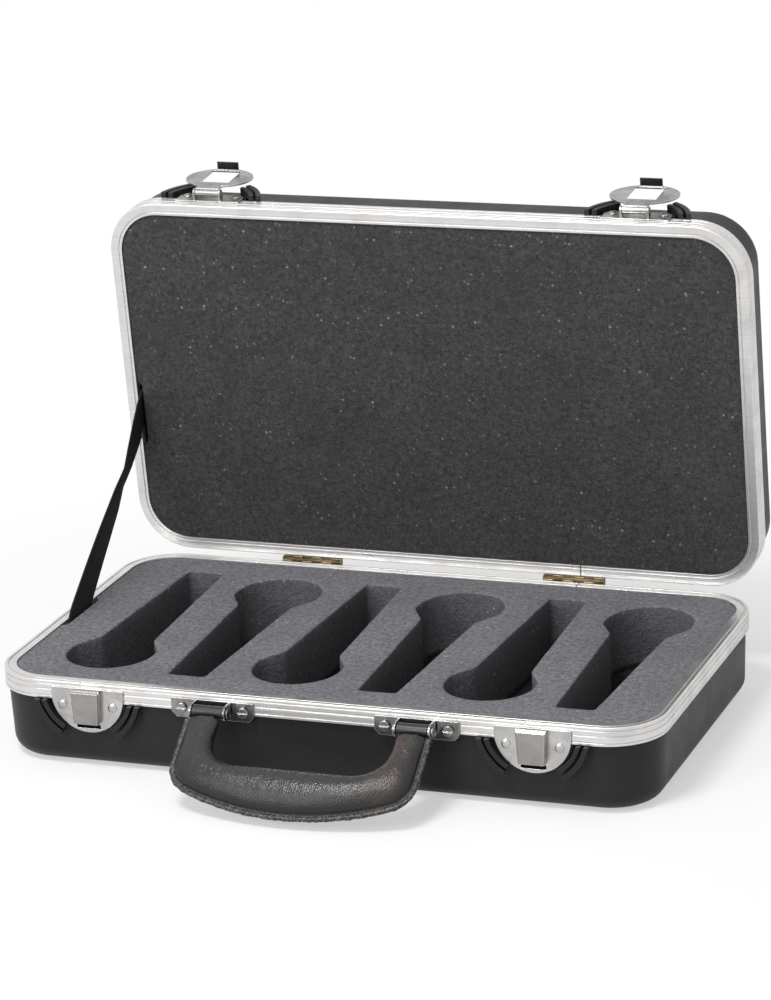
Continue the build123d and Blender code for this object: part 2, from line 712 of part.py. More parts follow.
def strap_rivet(frame, side, anchor_y):
    """Return the rivet that holds the webbing to one half, its tail under the wall's outer face."""
    seat = cross_plane(frame, strap_inner_x + seat_gap, anchor_y, side * strap_rivet_drop)
    outer_wall = inner_width / 2 + rim_width - wall_set_back(strap_rivet_drop - strap_rivet_tail_radius)
    with BuildPart() as stay_rivet:
        rivet(
            seat,
            strap_rivet_head_radius,
            strap_rivet_head_height,
            strap_rivet_radius,
            outer_wall + seat_gap + strap_inner_x + seat_gap,
            strap_rivet_tail_radius,
            rivet_tail_height,
        )
    return stay_rivet


save(strap_rivet(base_frame, -1, strap_base_y), "strap_rivet_base")
save(strap_rivet(lid_frame, 1, strap_lid_y), "strap_rivet_lid")

with BuildPart() as stay_strap:
    with BuildSketch(Plane(origin=(strap_outer_x, 0, 0), x_dir=(0, 1, 0), z_dir=(1, 0, 0))):
        with BuildLine():
            FilletPolyline(
                stay_point(base_frame, strap_base_y, -strap_tuck),
                strap_base_bend,
                strap_lid_bend,
                stay_point(lid_frame, strap_lid_y, strap_tuck),
                radius=strap_bend_radius,
            )
        trace(line_width=strap_width)
    extrude(amount=strap_thickness)
    for frame, side, anchor_y in ((base_frame, -1, strap_base_y), (lid_frame, 1, strap_lid_y)):
        with BuildSketch(cross_plane(frame, strap_outer_x - overlap, anchor_y, side * strap_rivet_drop)):
            Circle(strap_rivet_radius + seat_gap)
        extrude(amount=strap_thickness + 2 * overlap, mode=Mode.SUBTRACT)
save(stay_strap, "stay_strap")


# ---- Latches --------------------------------------------------------------------------------------
pin_stand_off = lever_pivot_stand_off


def build_latch_plate(latch_x):
    """Return the half-disc plate with the lever's two lugs and the hook slot."""
    with BuildPart() as plate:
        with BuildSketch(wall_plane(base_frame, latch_x, 0, seat_gap)):
            centre_z = latch_plate_radius - latch_plate_bottom
            with Locations((0, centre_z)):
                Circle(latch_plate_radius)
            with Locations((0, (centre_z - latch_plate_top) / 2)):
                Rectangle(2 * latch_plate_radius, -latch_plate_top - centre_z)
            with Locations((0, latch_plate_radius - latch_plate_top)):
                Rectangle(4 * latch_plate_radius, 2 * latch_plate_radius, mode=Mode.SUBTRACT)
            with Locations((0, -latch_rivet_drop)):
                with GridLocations(latch_rivet_pitch, 0, 2, 1):
                    Circle(latch_rivet_radius + seat_gap, mode=Mode.SUBTRACT)
            with Locations((0, -(hook_slot_top + hook_slot_bottom) / 2)):
                Rectangle(hook_slot_width, hook_slot_bottom - hook_slot_top, mode=Mode.SUBTRACT)
        extrude(amount=plate_sheet)
        lug_reach = pin_stand_off - seat_gap
        for direction in (-1, 1):
            lug_x = latch_x + direction * (lever_ear_spread + lever_ear_sheet) / 2
            lug_plane = cross_plane(base_frame, lug_x, front_y, -lever_pivot_drop)
            with BuildSketch(lug_plane):
                with Locations((-pin_stand_off, 0)):
                    Circle(lever_ear_radius)
                with Locations((-seat_gap - lug_reach / 2, 0)):
                    Rectangle(lug_reach, 2 * lever_ear_half_base)
            extrude(amount=lever_ear_sheet / 2, both=True)
            with BuildSketch(lug_plane):
                with Locations((-pin_stand_off, 0)):
                    Circle(lever_pin_radius + running_clearance)
            extrude(amount=lever_ear_sheet, both=True, mode=Mode.SUBTRACT)
    return plate


def build_latch_lever(latch_x):
    """Return the tapered channel lever: bevelled top, open back, two side walls on the pin."""
    lever_plane = cross_plane(base_frame, latch_x, front_y, 0)
    with BuildPart() as lever:
        with BuildSketch(lever_plane):
            with BuildLine():
                Polyline(
                    (-lever_front, -lever_bottom),
                    (-lever_front, -lever_top - lever_bevel),
                    (-lever_front + lever_top_setback, -lever_top),
                    (-plate_face - lever_clear - lever_relief, -lever_top),
                    (-plate_face - lever_clear, -lever_relief_drop),
                    (-plate_face - lever_clear, -lever_bottom),
                    close=True,
                )
            make_face()
        extrude(amount=lever_width_top / 2, both=True)
        # Tapered sides.
        with BuildSketch(wall_plane(base_frame, latch_x, 0, 0)):
            with BuildLine():
                Polyline(
                    (-lever_width_top / 2, -lever_top),
                    (lever_width_top / 2, -lever_top),
                    (lever_width_bottom / 2, -lever_bottom),
                    (-lever_width_bottom / 2, -lever_bottom),
                    close=True,
                )
            make_face()
        extrude(amount=lever_front + overlap, mode=Mode.INTERSECT)
        front_edges = lever.faces().sort_by(Axis.Y)[0].edges()
        chamfer(front_edges.filter_by(Axis.X, reverse=True), lever_edge_chamfer)
        # Hollow behind the front and top walls, between the side walls.
        with BuildSketch(wall_plane(base_frame, latch_x, 0, 0)):
            with BuildLine():
                Polyline(
                    (-lever_width_top / 2 + lever_wall, -lever_top - lever_top_wall),
                    (lever_width_top / 2 - lever_wall, -lever_top - lever_top_wall),
                    (lever_width_bottom / 2 - lever_wall, -lever_bottom - overlap),
                    (-lever_width_bottom / 2 + lever_wall, -lever_bottom - overlap),
                    close=True,
                )
            make_face()
        extrude(amount=lever_front - lever_wall, mode=Mode.SUBTRACT)
        with BuildSketch(lever_plane):
            with Locations((-pin_stand_off, -lever_pivot_drop)):
                Circle(lever_pin_radius + running_clearance)
        extrude(amount=lever_width_top, both=True, mode=Mode.SUBTRACT)
    return lever


def build_latch_spring(latch_x):
    """Return the torsion coil around the lever pin, between the lugs."""
    coil_length = spring_pitch * spring_turns
    coil_start = latch_x - coil_length / 2
    coil_plane = cross_plane(base_frame, coil_start, front_y - pin_stand_off, -lever_pivot_drop)
    with BuildPart() as spring:
        with BuildLine() as coil:
            Helix(
                pitch=spring_pitch,
                height=coil_length,
                radius=spring_mean_radius,
                center=coil_plane.origin,
                direction=coil_plane.z_dir,
            )
        with BuildSketch(Plane(origin=coil.line @ 0, z_dir=coil.line % 0)):
            Circle(spring_wire_radius)
        sweep(path=coil.line, is_frenet=True)
    return spring


for hand, latch_x in latch_xs.items():
    save(build_latch_plate(latch_x), f"latch_plate_{hand}")
    save(build_latch_lever(latch_x), f"latch_lever_{hand}")
    save(build_latch_spring(latch_x), f"latch_spring_{hand}")
    with BuildPart() as latch_pin:
        with BuildSketch(cross_plane(base_frame, latch_x, front_y - pin_stand_off, -lever_pivot_drop)):
            Circle(lever_pin_radius)
        extrude(amount=lever_width_top / 2 - lever_clear, both=True)
    save(latch_pin, f"latch_pin_{hand}")


# ---- Hasps ----------------------------------------------------------------------------------------
def build_hasp_bracket(latch_x):
    """Return the lid's fixed plate with two ears for the hasp pin."""
    with BuildPart() as bracket:
        bracket_centre = (hasp_bracket_start + hasp_bracket_end) / 2
        with BuildSketch(wall_plane(lid_frame, latch_x, bracket_centre, seat_gap)) as outline:
            Rectangle(hasp_bracket_width, hasp_bracket_end - hasp_bracket_start)
            fillet(outline.vertices().group_by(Axis.Y)[-1], hasp_bracket_round)
            with Locations((0, hasp_rivet_rise - bracket_centre)):
                with GridLocations(hasp_rivet_pitch, 0, 2, 1):
                    Circle(latch_rivet_radius + seat_gap, mode=Mode.SUBTRACT)
        extrude(amount=plate_sheet)
        ear_reach = hasp_pivot_stand_off - seat_gap
        for direction in (-1, 1):
            ear_x = latch_x + direction * (hasp_neck_width - hasp_ear_sheet) / 2
            with BuildSketch(cross_plane(lid_frame, ear_x, front_y, hasp_pivot_rise)):
                with Locations((-hasp_pivot_stand_off, 0)):
                    Circle(hasp_ear_radius)
                with Locations((-seat_gap - ear_reach / 2, 0)):
                    Rectangle(ear_reach, 2 * hasp_ear_radius)
            extrude(amount=hasp_ear_sheet / 2, both=True)
        with BuildSketch(cross_plane(lid_frame, latch_x, front_y, hasp_pivot_rise)):
            with Locations((-hasp_pivot_stand_off, 0)):
                Circle(hasp_pin_radius + running_clearance)
        extrude(amount=hasp_neck_width, both=True, mode=Mode.SUBTRACT)
    return bracket


def build_hasp_plate(latch_x):
    """Return the turned-back hasp: rolled knuckle, oval plate with a window, and the hook."""
    knuckle_width = hasp_neck_width - 2 * hasp_ear_sheet - 2 * hasp_side_clear
    pivot_y = front_y - hasp_pivot_stand_off
    face_stand_off = hasp_pivot_stand_off + hasp_face_offset
    with BuildPart() as hasp:
        with BuildSketch(wall_plane(lid_frame, latch_x, hasp_pivot_rise, face_stand_off)):
            with Locations((0, hasp_disc_centre)):
                Ellipse(hasp_disc_half_width, hasp_disc_half_length)
            with Locations((0, hasp_disc_centre / 2)):
                Rectangle(knuckle_width, hasp_disc_centre)
            with Locations((0, (hasp_window_start + hasp_window_end) / 2)):
                Rectangle(hasp_window_width, hasp_window_end - hasp_window_start, mode=Mode.SUBTRACT)
        extrude(amount=-hasp_sheet)
        with BuildSketch(cross_plane(lid_frame, latch_x, pivot_y, hasp_pivot_rise)):
            Circle(hasp_knuckle_radius)
        extrude(amount=knuckle_width / 2, both=True)
        with BuildSketch(cross_plane(lid_frame, latch_x, pivot_y, hasp_pivot_rise)):
            Circle(hasp_pin_radius + running_clearance)
        extrude(amount=hasp_neck_width, both=True, mode=Mode.SUBTRACT)
        hook_stand_off = face_stand_off - hasp_sheet
        hook_centre = hasp_pivot_rise + hasp_hook_distance + hasp_hook_sheet / 2
        with BuildSketch(wall_plane(lid_frame, latch_x, hook_centre, hook_stand_off)):
            Rectangle(hasp_hook_width, hasp_hook_sheet)
        extrude(amount=hasp_hook_reach)
    return hasp


for hand, latch_x in latch_xs.items():
    save(build_hasp_bracket(latch_x), f"hasp_bracket_{hand}")
    save(build_hasp_plate(latch_x), f"hasp_plate_{hand}")
    hasp_pin_plane = cross_plane(lid_frame, latch_x, front_y - hasp_pivot_stand_off, hasp_pivot_rise)
    with BuildPart() as hasp_pin:
        with BuildSketch(hasp_pin_plane):
            Circle(hasp_pin_radius)
        extrude(amount=hasp_neck_width / 2, both=True)
    save(hasp_pin, f"hasp_pin_{hand}")


# ---- Handle brackets ------------------------------------------------------------------------------
def build_handle_bracket(bracket_x):
    """Return one plate with its two ears."""
    with BuildPart() as bracket:
        bracket_centre = -bracket_top - bracket_height / 2
        with BuildSketch(wall_plane(base_frame, bracket_x, bracket_centre, seat_gap)) as outline:
            Rectangle(bracket_width, bracket_height)
            chamfer(outline.vertices().group_by(Axis.Y)[0], bracket_chamfer)
            with Locations((0, -screw_drop - bracket_centre)):
                with GridLocations(screw_pitch, 0, 2, 1):
                    Circle(screw_radius + seat_gap, mode=Mode.SUBTRACT)
        extrude(amount=bracket_sheet)
        ear_reach = handle_pivot_stand_off - seat_gap
        for direction in (-1, 1):
            ear_x = bracket_x + direction * (ear_spread + bracket_sheet) / 2
            with BuildSketch(cross_plane(base_frame, ear_x, front_y, -handle_pivot_drop)):
                with Locations((-handle_pivot_stand_off, 0)):
                    Circle(ear_radius)
                with Locations((-seat_gap - ear_reach / 2, 0)):
                    Rectangle(ear_reach, 2 * ear_radius)
            extrude(amount=bracket_sheet / 2, both=True)
        with BuildSketch(cross_plane(base_frame, bracket_x, front_y, -handle_pivot_drop)):
            with Locations((-handle_pivot_stand_off, 0)):
                Circle(handle_pin_radius + running_clearance)
        extrude(amount=ear_spread, both=True, mode=Mode.SUBTRACT)
    return bracket


def build_handle_pin(bracket_x):
    """Return one pivot pin with a head outside each ear."""
    head_start = ear_spread / 2 + bracket_sheet + seat_gap
    pivot_y = front_y - handle_pivot_stand_off
    with BuildPart() as pin:
        with BuildSketch(cross_plane(base_frame, bracket_x, pivot_y, -handle_pivot_drop)):
            Circle(handle_pin_radius)
        extrude(amount=head_start, both=True)
        for direction in (-1, 1):
            head_x = bracket_x + direction * (head_start + handle_pin_head_height / 2)
            with BuildSketch(cross_plane(base_frame, head_x, pivot_y, -handle_pivot_drop)):
                Circle(handle_pin_head_radius)
            extrude(amount=handle_pin_head_height / 2, both=True)
    return pin


for hand, bracket_x in bracket_xs.items():
    save(build_handle_bracket(bracket_x), f"handle_bracket_{hand}")
    save(build_handle_pin(bracket_x), f"handle_pin_{hand}")

screw_face = seat_gap + bracket_sheet + seat_gap
nut_set_back = wall_set_back(screw_drop + nut_radius) + shell_wall + seat_gap
screw_centres = [x + offset for x in bracket_xs.values() for offset in (-screw_pitch / 2, screw_pitch / 2)]

with BuildPart() as handle_screws:
    for screw_x in screw_centres:
        with BuildSketch(wall_plane(base_frame, screw_x, -screw_drop, screw_face)):
            Circle(screw_head_radius)
        extrude(amount=screw_head_height)
        fillet(handle_screws.edges().filter_by(GeomType.CIRCLE).sort_by(Axis.Y)[0], screw_edge_radius)
        with BuildSketch(wall_plane(base_frame, screw_x, -screw_drop, screw_face + screw_head_height)):
            Rectangle(2 * screw_head_radius + overlap, screw_slot_width)
        extrude(amount=-screw_slot_depth, mode=Mode.SUBTRACT)
        with BuildSketch(wall_plane(base_frame, screw_x, -screw_drop, screw_face)):
            Circle(screw_radius)
        extrude(amount=-screw_face - nut_set_back)
save(handle_screws, "handle_screws")

with BuildPart() as handle_nuts:
    for screw_x in screw_centres:
        with BuildSketch(wall_plane(base_frame, screw_x, -screw_drop, -nut_set_back)):
            RegularPolygon(nut_radius, 6)
            Circle(screw_radius + seat_gap, mode=Mode.SUBTRACT)
        extrude(amount=-nut_height)
save(handle_nuts, "handle_nuts")


# ---- Handle ---------------------------------------------------------------------------------------
def build_core(margin):
    """Return the U-shaped steel core grown by a margin, with an eye at each end."""
    half_spread = bracket_pitch / 2
    with BuildPart() as core:
        with BuildSketch(handle_frame.offset(-core_half_thickness - margin)):
            with BuildLine() as path:
                FilletPolyline(
                    (-half_spread, 0),
                    (-half_spread, -core_bottom),
                    (half_spread, -core_bottom),
                    (half_spread, 0),
                    radius=core_corner_radius,
                )
            trace(line_width=2 * (core_half_width + margin))
        extrude(amount=2 * (core_half_thickness + margin))
    return core


with BuildPart() as handle_core:
    add(build_core(0).part)
    for direction in (-1, 1):
        eye_origin = handle_frame.from_local_coords(Vector(direction * bracket_pitch / 2, 0, 0))
        eye_plane = Plane(origin=eye_origin, x_dir=handle_frame.y_dir, z_dir=handle_frame.x_dir)
        with BuildSketch(eye_plane):
            Circle(core_eye_radius)
        extrude(amount=core_eye_half_length, both=True)
        with BuildSketch(eye_plane):
            Circle(handle_pin_radius + running_clearance)
        extrude(amount=core_eye_half_length + overlap, both=True, mode=Mode.SUBTRACT)
save(handle_core, "handle_core")


def grip_outline(outset):
    """Add the handle's outer outline to the open sketch, outset all round below the arms' ends."""
    half_width = grip_half_width + outset
    with BuildLine() as outline:
        Polyline((-half_width, -grip_shoulder), (-half_width, -grip_start), (half_width, -grip_start))
        Line((half_width, -grip_start), (half_width, -grip_shoulder))
        ThreePointArc(
            (half_width, -grip_shoulder),
            (0, -grip_bottom - outset),
            (-half_width, -grip_shoulder),
        )
    make_face(outline.edges())


def grip_opening():
    """Cut the finger opening from the open sketch."""
    with Locations((0, -grip_inner_bottom / 2)):
        Rectangle(2 * grip_inner_half_width, grip_inner_bottom, mode=Mode.SUBTRACT)


def round_grip_corners(sketch, outset):
    """Round the two outer bottom corners and the two inner ones of the open sketch."""
    corners = [v for v in sketch.vertices() if v.Y < -grip_start - overlap]
    fillet([v for v in corners if abs(v.X) > grip_half_width - overlap], grip_outer_radius + outset)
    corners = [v for v in sketch.vertices() if v.Y < -grip_start - overlap]
    inner = [v for v in corners if abs(abs(v.X) - grip_inner_half_width) < overlap]
    fillet(inner, grip_inner_radius)


with BuildPart() as handle_grip:
    with BuildSketch(handle_frame) as grip_sketch:
        grip_outline(0)
        grip_opening()
        round_grip_corners(grip_sketch, 0)
        with Locations((0, -grip_start / 2)):
            Rectangle(2 * grip_inner_half_width, grip_start, mode=Mode.SUBTRACT)
    extrude(amount=grip_half_thickness, both=True)
    wedge_plane = Plane(origin=handle_frame.origin, x_dir=handle_frame.y_dir, z_dir=handle_frame.x_dir)
    with BuildSketch(wedge_plane):
        with BuildLine():
            Polyline(
                (-grip_start, grip_arm_half_thickness),
                (-grip_bottom, grip_half_thickness),
                (-grip_bottom, -grip_half_thickness),
                (-grip_start, -grip_arm_half_thickness),
                close=True,
            )
        make_face()
    extrude(amount=grip_half_width, both=True, mode=Mode.INTERSECT)
    # Round the front and back edges, outside and inside; the arms' ends stay square.
    outer_edges = []
    inner_edges = []
    for edge in handle_grip.faces().sort_by(SortBy.AREA)[-2:].edges():
        middle = handle_frame.to_local_coords(Vector(*edge.center()))
        if middle.Y > -grip_start - overlap:
            continue
        if abs(middle.X) < grip_inner_half_width + overlap and middle.Y > -grip_inner_bottom - overlap:
            inner_edges.append(edge)
        else:
            outer_edges.append(edge)
    fillet(outer_edges, grip_outer_fillet)
    fillet(inner_edges, grip_inner_fillet)
    with BuildSketch(handle_frame.offset(-fin_half_thickness)) as fin_sketch:
        grip_outline(fin_reach)
        grip_opening()
        round_grip_corners(fin_sketch, fin_reach)
        with Locations((0, -grip_start)):
            Rectangle(2 * grip_inner_half_width, 2 * grip_start, mode=Mode.SUBTRACT)
    extrude(amount=2 * fin_half_thickness)
    add(build_core(core_gap).part, mode=Mode.SUBTRACT)
save(handle_grip, "handle_grip")
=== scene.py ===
"""Dresses the open microphone case: finishes, foam, stay, handle, studio and camera."""

import json
import logging
import math
from dataclasses import dataclass
from enum import Enum
from typing import Sequence

import bmesh
import bpy
from mathutils import Matrix, Quaternion, Vector, geometry, noise


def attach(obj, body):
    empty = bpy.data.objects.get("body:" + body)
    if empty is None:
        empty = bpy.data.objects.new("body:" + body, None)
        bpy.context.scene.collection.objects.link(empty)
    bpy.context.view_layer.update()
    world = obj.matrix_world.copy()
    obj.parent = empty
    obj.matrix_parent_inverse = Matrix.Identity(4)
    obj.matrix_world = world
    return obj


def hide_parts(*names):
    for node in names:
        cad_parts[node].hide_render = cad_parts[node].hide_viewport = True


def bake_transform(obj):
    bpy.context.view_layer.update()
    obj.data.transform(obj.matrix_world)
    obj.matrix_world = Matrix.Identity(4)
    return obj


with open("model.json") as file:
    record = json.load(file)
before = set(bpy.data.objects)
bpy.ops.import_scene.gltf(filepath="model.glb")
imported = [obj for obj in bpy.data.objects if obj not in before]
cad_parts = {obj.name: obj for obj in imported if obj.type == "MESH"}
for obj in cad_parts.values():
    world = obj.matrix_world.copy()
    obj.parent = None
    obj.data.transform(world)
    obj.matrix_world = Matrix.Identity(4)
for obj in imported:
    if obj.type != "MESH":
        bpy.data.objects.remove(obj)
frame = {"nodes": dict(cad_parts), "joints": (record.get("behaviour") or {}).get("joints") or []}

LOG = logging.getLogger("microphone_case")
MM = 0.001
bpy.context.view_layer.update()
NODE_SPACING = 200
NOISE_SEED = 1
Sockets = bpy.types.bpy_prop_collection


def joint(name: str) -> dict:
    """Return one of the case's joints.

    Args:
        name: The joint's name.

    Returns:
        The joint's record, with its place, axis and range.
    """
    return next(entry for entry in frame["joints"] if entry["name"] == name)


# ---------------------------------------------------------------------------------------------------
# Shader trees
# ---------------------------------------------------------------------------------------------------


class Tree:
    """Adds nodes to one shader tree, left to right, and joins them."""

    def __init__(self, tree: bpy.types.NodeTree) -> None:
        """Keep the tree and start at its left.

        Args:
            tree: A material's or a node group's tree.
        """
        self.tree = tree
        self.column = 0

    def add(self, kind: str, **settings: object) -> bpy.types.Node:
        """Add one node.

        Args:
            kind: The node's type name.
            **settings: Properties of the node, set as they are.

        Returns:
            The new node.
        """
        node = self.tree.nodes.new(kind)
        node.location = (self.column * NODE_SPACING, 0)
        self.column += 1
        for name, value in settings.items():
            setattr(node, name, value)
        return node

    def feed(self, node: bpy.types.Node, **sources: object) -> bpy.types.Node:
        """Set a node's inputs from sockets or plain values.

        Args:
            node: The node whose inputs are set.
            **sources: What goes into each input, by the input's name with underscores for spaces,
                or by i and its number.

        Returns:
            The same node.
        """
        for name, source in sources.items():
            key = int(name[1:]) if name[0] == "i" and name[1:].isdigit() else name.replace("_", " ")
            if isinstance(source, bpy.types.NodeSocket):
                self.tree.links.new(source, node.inputs[key])
            else:
                node.inputs[key].default_value = source
        return node

    def math(self, operation: str, first: object, second: object = 0.0) -> bpy.types.NodeSocket:
        """Return the result of a Math node.

        Args:
            operation: The node's operation, such as MULTIPLY.
            first: The first socket or number.
            second: The second socket or number.

        Returns:
            The node's output socket.
        """
        node = self.add("ShaderNodeMath", operation=operation)
        self.feed(node, i0=first, i1=second)
        return node.outputs[0]

    def product(self, first: object, *others: object) -> bpy.types.NodeSocket:
        """Return sockets and numbers multiplied together.

        Args:
            first: The first socket.
            *others: What to multiply it by.

        Returns:
            The product's socket.
        """
        for other in others:
            first = self.math("MULTIPLY", first, other)
        return first

    def span(
        self, value: object, low: float, high: float, to_low: float = 0.0, to_high: float = 1.0
    ) -> bpy.types.NodeSocket:
        """Return a value stretched from one range to another and clamped there.

        Args:
            value: The socket to stretch.
            low: The source value that becomes to_low.
            high: The source value that becomes to_high.
            to_low: The first end of the new range.
            to_high: The second end of the new range.

        Returns:
            The stretched value's socket.
        """
        node = self.add("ShaderNodeMapRange")
        self.feed(node, Value=value, From_Min=low, From_Max=high, To_Min=to_low, To_Max=to_high)
        return node.outputs["Result"]

    def mix(self, share: object, first: object, second: object) -> bpy.types.NodeSocket:
        """Return a mix of two colours.

        Args:
            share: How much of the second colour shows, from 0 to 1.
            first: The first colour or its socket.
            second: The second colour or its socket.

        Returns:
            The mixed colour's socket.
        """
        node = self.add("ShaderNodeMix", data_type="RGBA")
        self.feed(node, i0=share, i6=first, i7=second)
        return node.outputs[2]

    def noise(self, place: object, scale: object, **values: object) -> bpy.types.NodeSocket:
        """Return smooth noise.

        Args:
            place: The socket of the place at which it is read.
            scale: Its scale.
            **values: Its other inputs, such as Detail and Roughness.

        Returns:
            The noise's socket, which lies about 0.5.
        """
        node = self.add("ShaderNodeTexNoise")
        return self.feed(node, Vector=place, Scale=scale, **values).outputs["Fac"]

    def place(self) -> bpy.types.NodeSocket:
        """Return the surface's own coordinates, in metres."""
        return self.add("ShaderNodeTexCoord").outputs["Object"]

    def parts(self, vector: bpy.types.NodeSocket) -> Sockets:
        """Return the X, Y and Z sockets of a vector."""
        return self.feed(self.add("ShaderNodeSeparateXYZ"), Vector=vector).outputs

    def seen_white(self) -> bpy.types.NodeSocket:
        """Return 1 for rays that come straight, or off gloss or through glass, from the camera."""
        path = self.add("ShaderNodeLightPath")
        seen = self.math("MAXIMUM", path.outputs["Is Camera Ray"], path.outputs["Is Glossy Ray"])
        return self.math("MAXIMUM", seen, path.outputs["Is Transmission Ray"])


# ---------------------------------------------------------------------------------------------------
# Shared surface effects
# ---------------------------------------------------------------------------------------------------


class Effect(Enum):
    """The surface effects that finishes share."""

    PEBBLE_GRAIN = "pebble grain"
    FOAM_CELLS = "foam cells"
    DRAWN_LINES = "drawn lines"
    BROKEN_EDGES = "broken edges"
    PLAIN_WEAVE = "plain weave"


class GroupKit:
    """Builds the shared effects' node groups, each of them once.

    Attributes:
        PATCH_NOISE: Detail of the slow patches.
        PEBBLE_SMOOTHNESS: How round the pebbles are.
        CLUMP_SHARE: Share of the foam's grain that its coarse clumps make.
        GRAIN_SPAN: The part of the foam noise's range that becomes its full grain.
        SPECK_SPAN: How far from a bright cell's middle it starts and ends to fade, in cells.
        SPECK_RARITY: The higher, the fewer of the bright cells are really bright.
        SPECK_STRENGTH: Strength of the faintest and of the brightest cell.
        EDGE_SAMPLES: Samples of the edges' rounding.
        EDGE_SPAN: The normal's turn that starts an edge, and the one that is wholly edge, as cosines.
    """

    PATCH_NOISE = {"Detail": 4.0, "Roughness": 0.6}
    PEBBLE_SMOOTHNESS = 0.6
    CLUMP_SHARE = 0.45
    GRAIN_SPAN = (0.36, 0.64)
    SPECK_SPAN = (0.05, 0.45)
    SPECK_RARITY = 7.0
    SPECK_STRENGTH = (0.12, 0.97)
    EDGE_SAMPLES = 6
    EDGE_SPAN = (0.995, 0.85)

    def __init__(self) -> None:
        """List the builders, with no group made yet."""
        self.builders = {
            Effect.PEBBLE_GRAIN: self.pebble_grain,
            Effect.FOAM_CELLS: self.foam_cells,
            Effect.DRAWN_LINES: self.drawn_lines,
            Effect.BROKEN_EDGES: self.broken_edges,
            Effect.PLAIN_WEAVE: self.plain_weave,
        }
        self.made: dict[Effect, bpy.types.NodeTree] = {}

    def get(self, effect: Effect) -> bpy.types.NodeTree:
        """Return an effect's group, building it on first use."""
        if effect not in self.made:
            self.made[effect] = self.builders[effect]()
        return self.made[effect]

    @staticmethod
    def blank(
        effect: Effect, inputs: dict[str, float], outputs: Sequence[str]
    ) -> tuple[Tree, Sockets, bpy.types.Node]:
        """Start a group.

        Args:
            effect: The effect that it makes.
            inputs: Its number inputs and their defaults.
            outputs: Its outputs. One called Normal is a vector, and the others are numbers.

        Returns:
            The group's tree, the sockets of what it is given, and its output node.
        """
        group = bpy.data.node_groups.new(effect.value, "ShaderNodeTree")
        for label, default in inputs.items():
            socket = group.interface.new_socket(name=label, in_out="INPUT", socket_type="NodeSocketFloat")
            socket.default_value = default
        for label in outputs:
            kind = "NodeSocketVector" if label == "Normal" else "NodeSocketFloat"
            group.interface.new_socket(name=label, in_out="OUTPUT", socket_type=kind)
        tree = Tree(group)
        return tree, tree.add("NodeGroupInput").outputs, tree.add("NodeGroupOutput")

    def pebble_grain(self) -> bpy.types.NodeTree:
        """Build moulded or embossed grain: small pebbles over a slow unevenness.

        Returns:
            The group, which gives the grain's height and the slow patches.
        """
        inputs = {"Scale": 900.0, "Unevenness": 0.3, "Patch Scale": 45.0}
        tree, given, out = self.blank(Effect.PEBBLE_GRAIN, inputs, ("Height", "Patches"))
        place = tree.place()
        pebbles = tree.add("ShaderNodeTexVoronoi", feature="SMOOTH_F1")
        tree.feed(pebbles, Vector=place, Scale=given["Scale"], Smoothness=self.PEBBLE_SMOOTHNESS)
        slow = tree.noise(place, given["Patch Scale"], **self.PATCH_NOISE)
        height = tree.math("ADD", pebbles.outputs["Distance"], tree.product(slow, given["Unevenness"]))
        tree.feed(out, Height=height, Patches=slow)
        return tree.tree

    def foam_cells(self) -> bpy.types.NodeTree:
        """Build open foam: dense salt-and-pepper grain, a few bright cells, and slow patches.

        Returns:
            The group, which gives each of these from 0 to 1.
        """
        inputs = {
            "Grain Scale": 850.0,
            "Clump Scale": 330.0,
            "Speck Scale": 420.0,
            "Speck Share": 0.2,
            "Patch Scale": 26.0,
        }
        tree, given, out = self.blank(Effect.FOAM_CELLS, inputs, ("Grain", "Bright Specks", "Patches"))
        place = tree.place()
        fine = tree.noise(place, given["Grain Scale"], Detail=2.0, Roughness=0.65)
        clumps = tree.noise(place, given["Clump Scale"], Detail=2.0, Roughness=0.6)
        coarse = tree.product(clumps, self.CLUMP_SHARE)
        blend = tree.math("ADD", coarse, tree.product(fine, 1 - self.CLUMP_SHARE))
        specks = tree.add("ShaderNodeTexVoronoi", feature="F1")
        tree.feed(specks, Vector=place, Scale=given["Speck Scale"])
        draw = tree.feed(tree.add("ShaderNodeSeparateColor"), Color=specks.outputs["Color"]).outputs
        near = tree.span(specks.outputs["Distance"], *self.SPECK_SPAN, 1.0, 0.0)
        chosen = tree.math("LESS_THAN", draw["Red"], given["Speck Share"])
        rare = tree.math("POWER", draw["Green"], self.SPECK_RARITY)
        strength = tree.span(rare, 0.0, 1.0, *self.SPECK_STRENGTH)
        tree.feed(
            out,
            Grain=tree.span(blend, *self.GRAIN_SPAN),
            Bright_Specks=tree.product(near, chosen, strength),
            Patches=tree.noise(place, given["Patch Scale"], **self.PATCH_NOISE),
        )
        return tree.tree

    def drawn_lines(self) -> bpy.types.NodeTree:
        """Build the faint lines of drawn, rolled or brushed metal, and its cloudy smudges.

        Returns:
            The group, which gives both from 0 to 1.
        """
        inputs = {"Stretch X": 4.0, "Stretch Y": 900.0, "Stretch Z": 900.0, "Smudge Scale": 60.0}
        tree, given, out = self.blank(Effect.DRAWN_LINES, inputs, ("Lines", "Smudges"))
        place = tree.place()
        stretch = tree.add("ShaderNodeCombineXYZ")
        tree.feed(stretch, X=given["Stretch X"], Y=given["Stretch Y"], Z=given["Stretch Z"])
        scaled = tree.add("ShaderNodeVectorMath", operation="MULTIPLY")
        tree.feed(scaled, i0=place, i1=stretch.outputs["Vector"])
        lines = tree.noise(scaled.outputs["Vector"], 1.0, **self.PATCH_NOISE)
        smudges = tree.noise(place, given["Smudge Scale"], Distortion=0.6, **self.PATCH_NOISE)
        tree.feed(out, Lines=lines, Smudges=smudges)
        return tree.tree

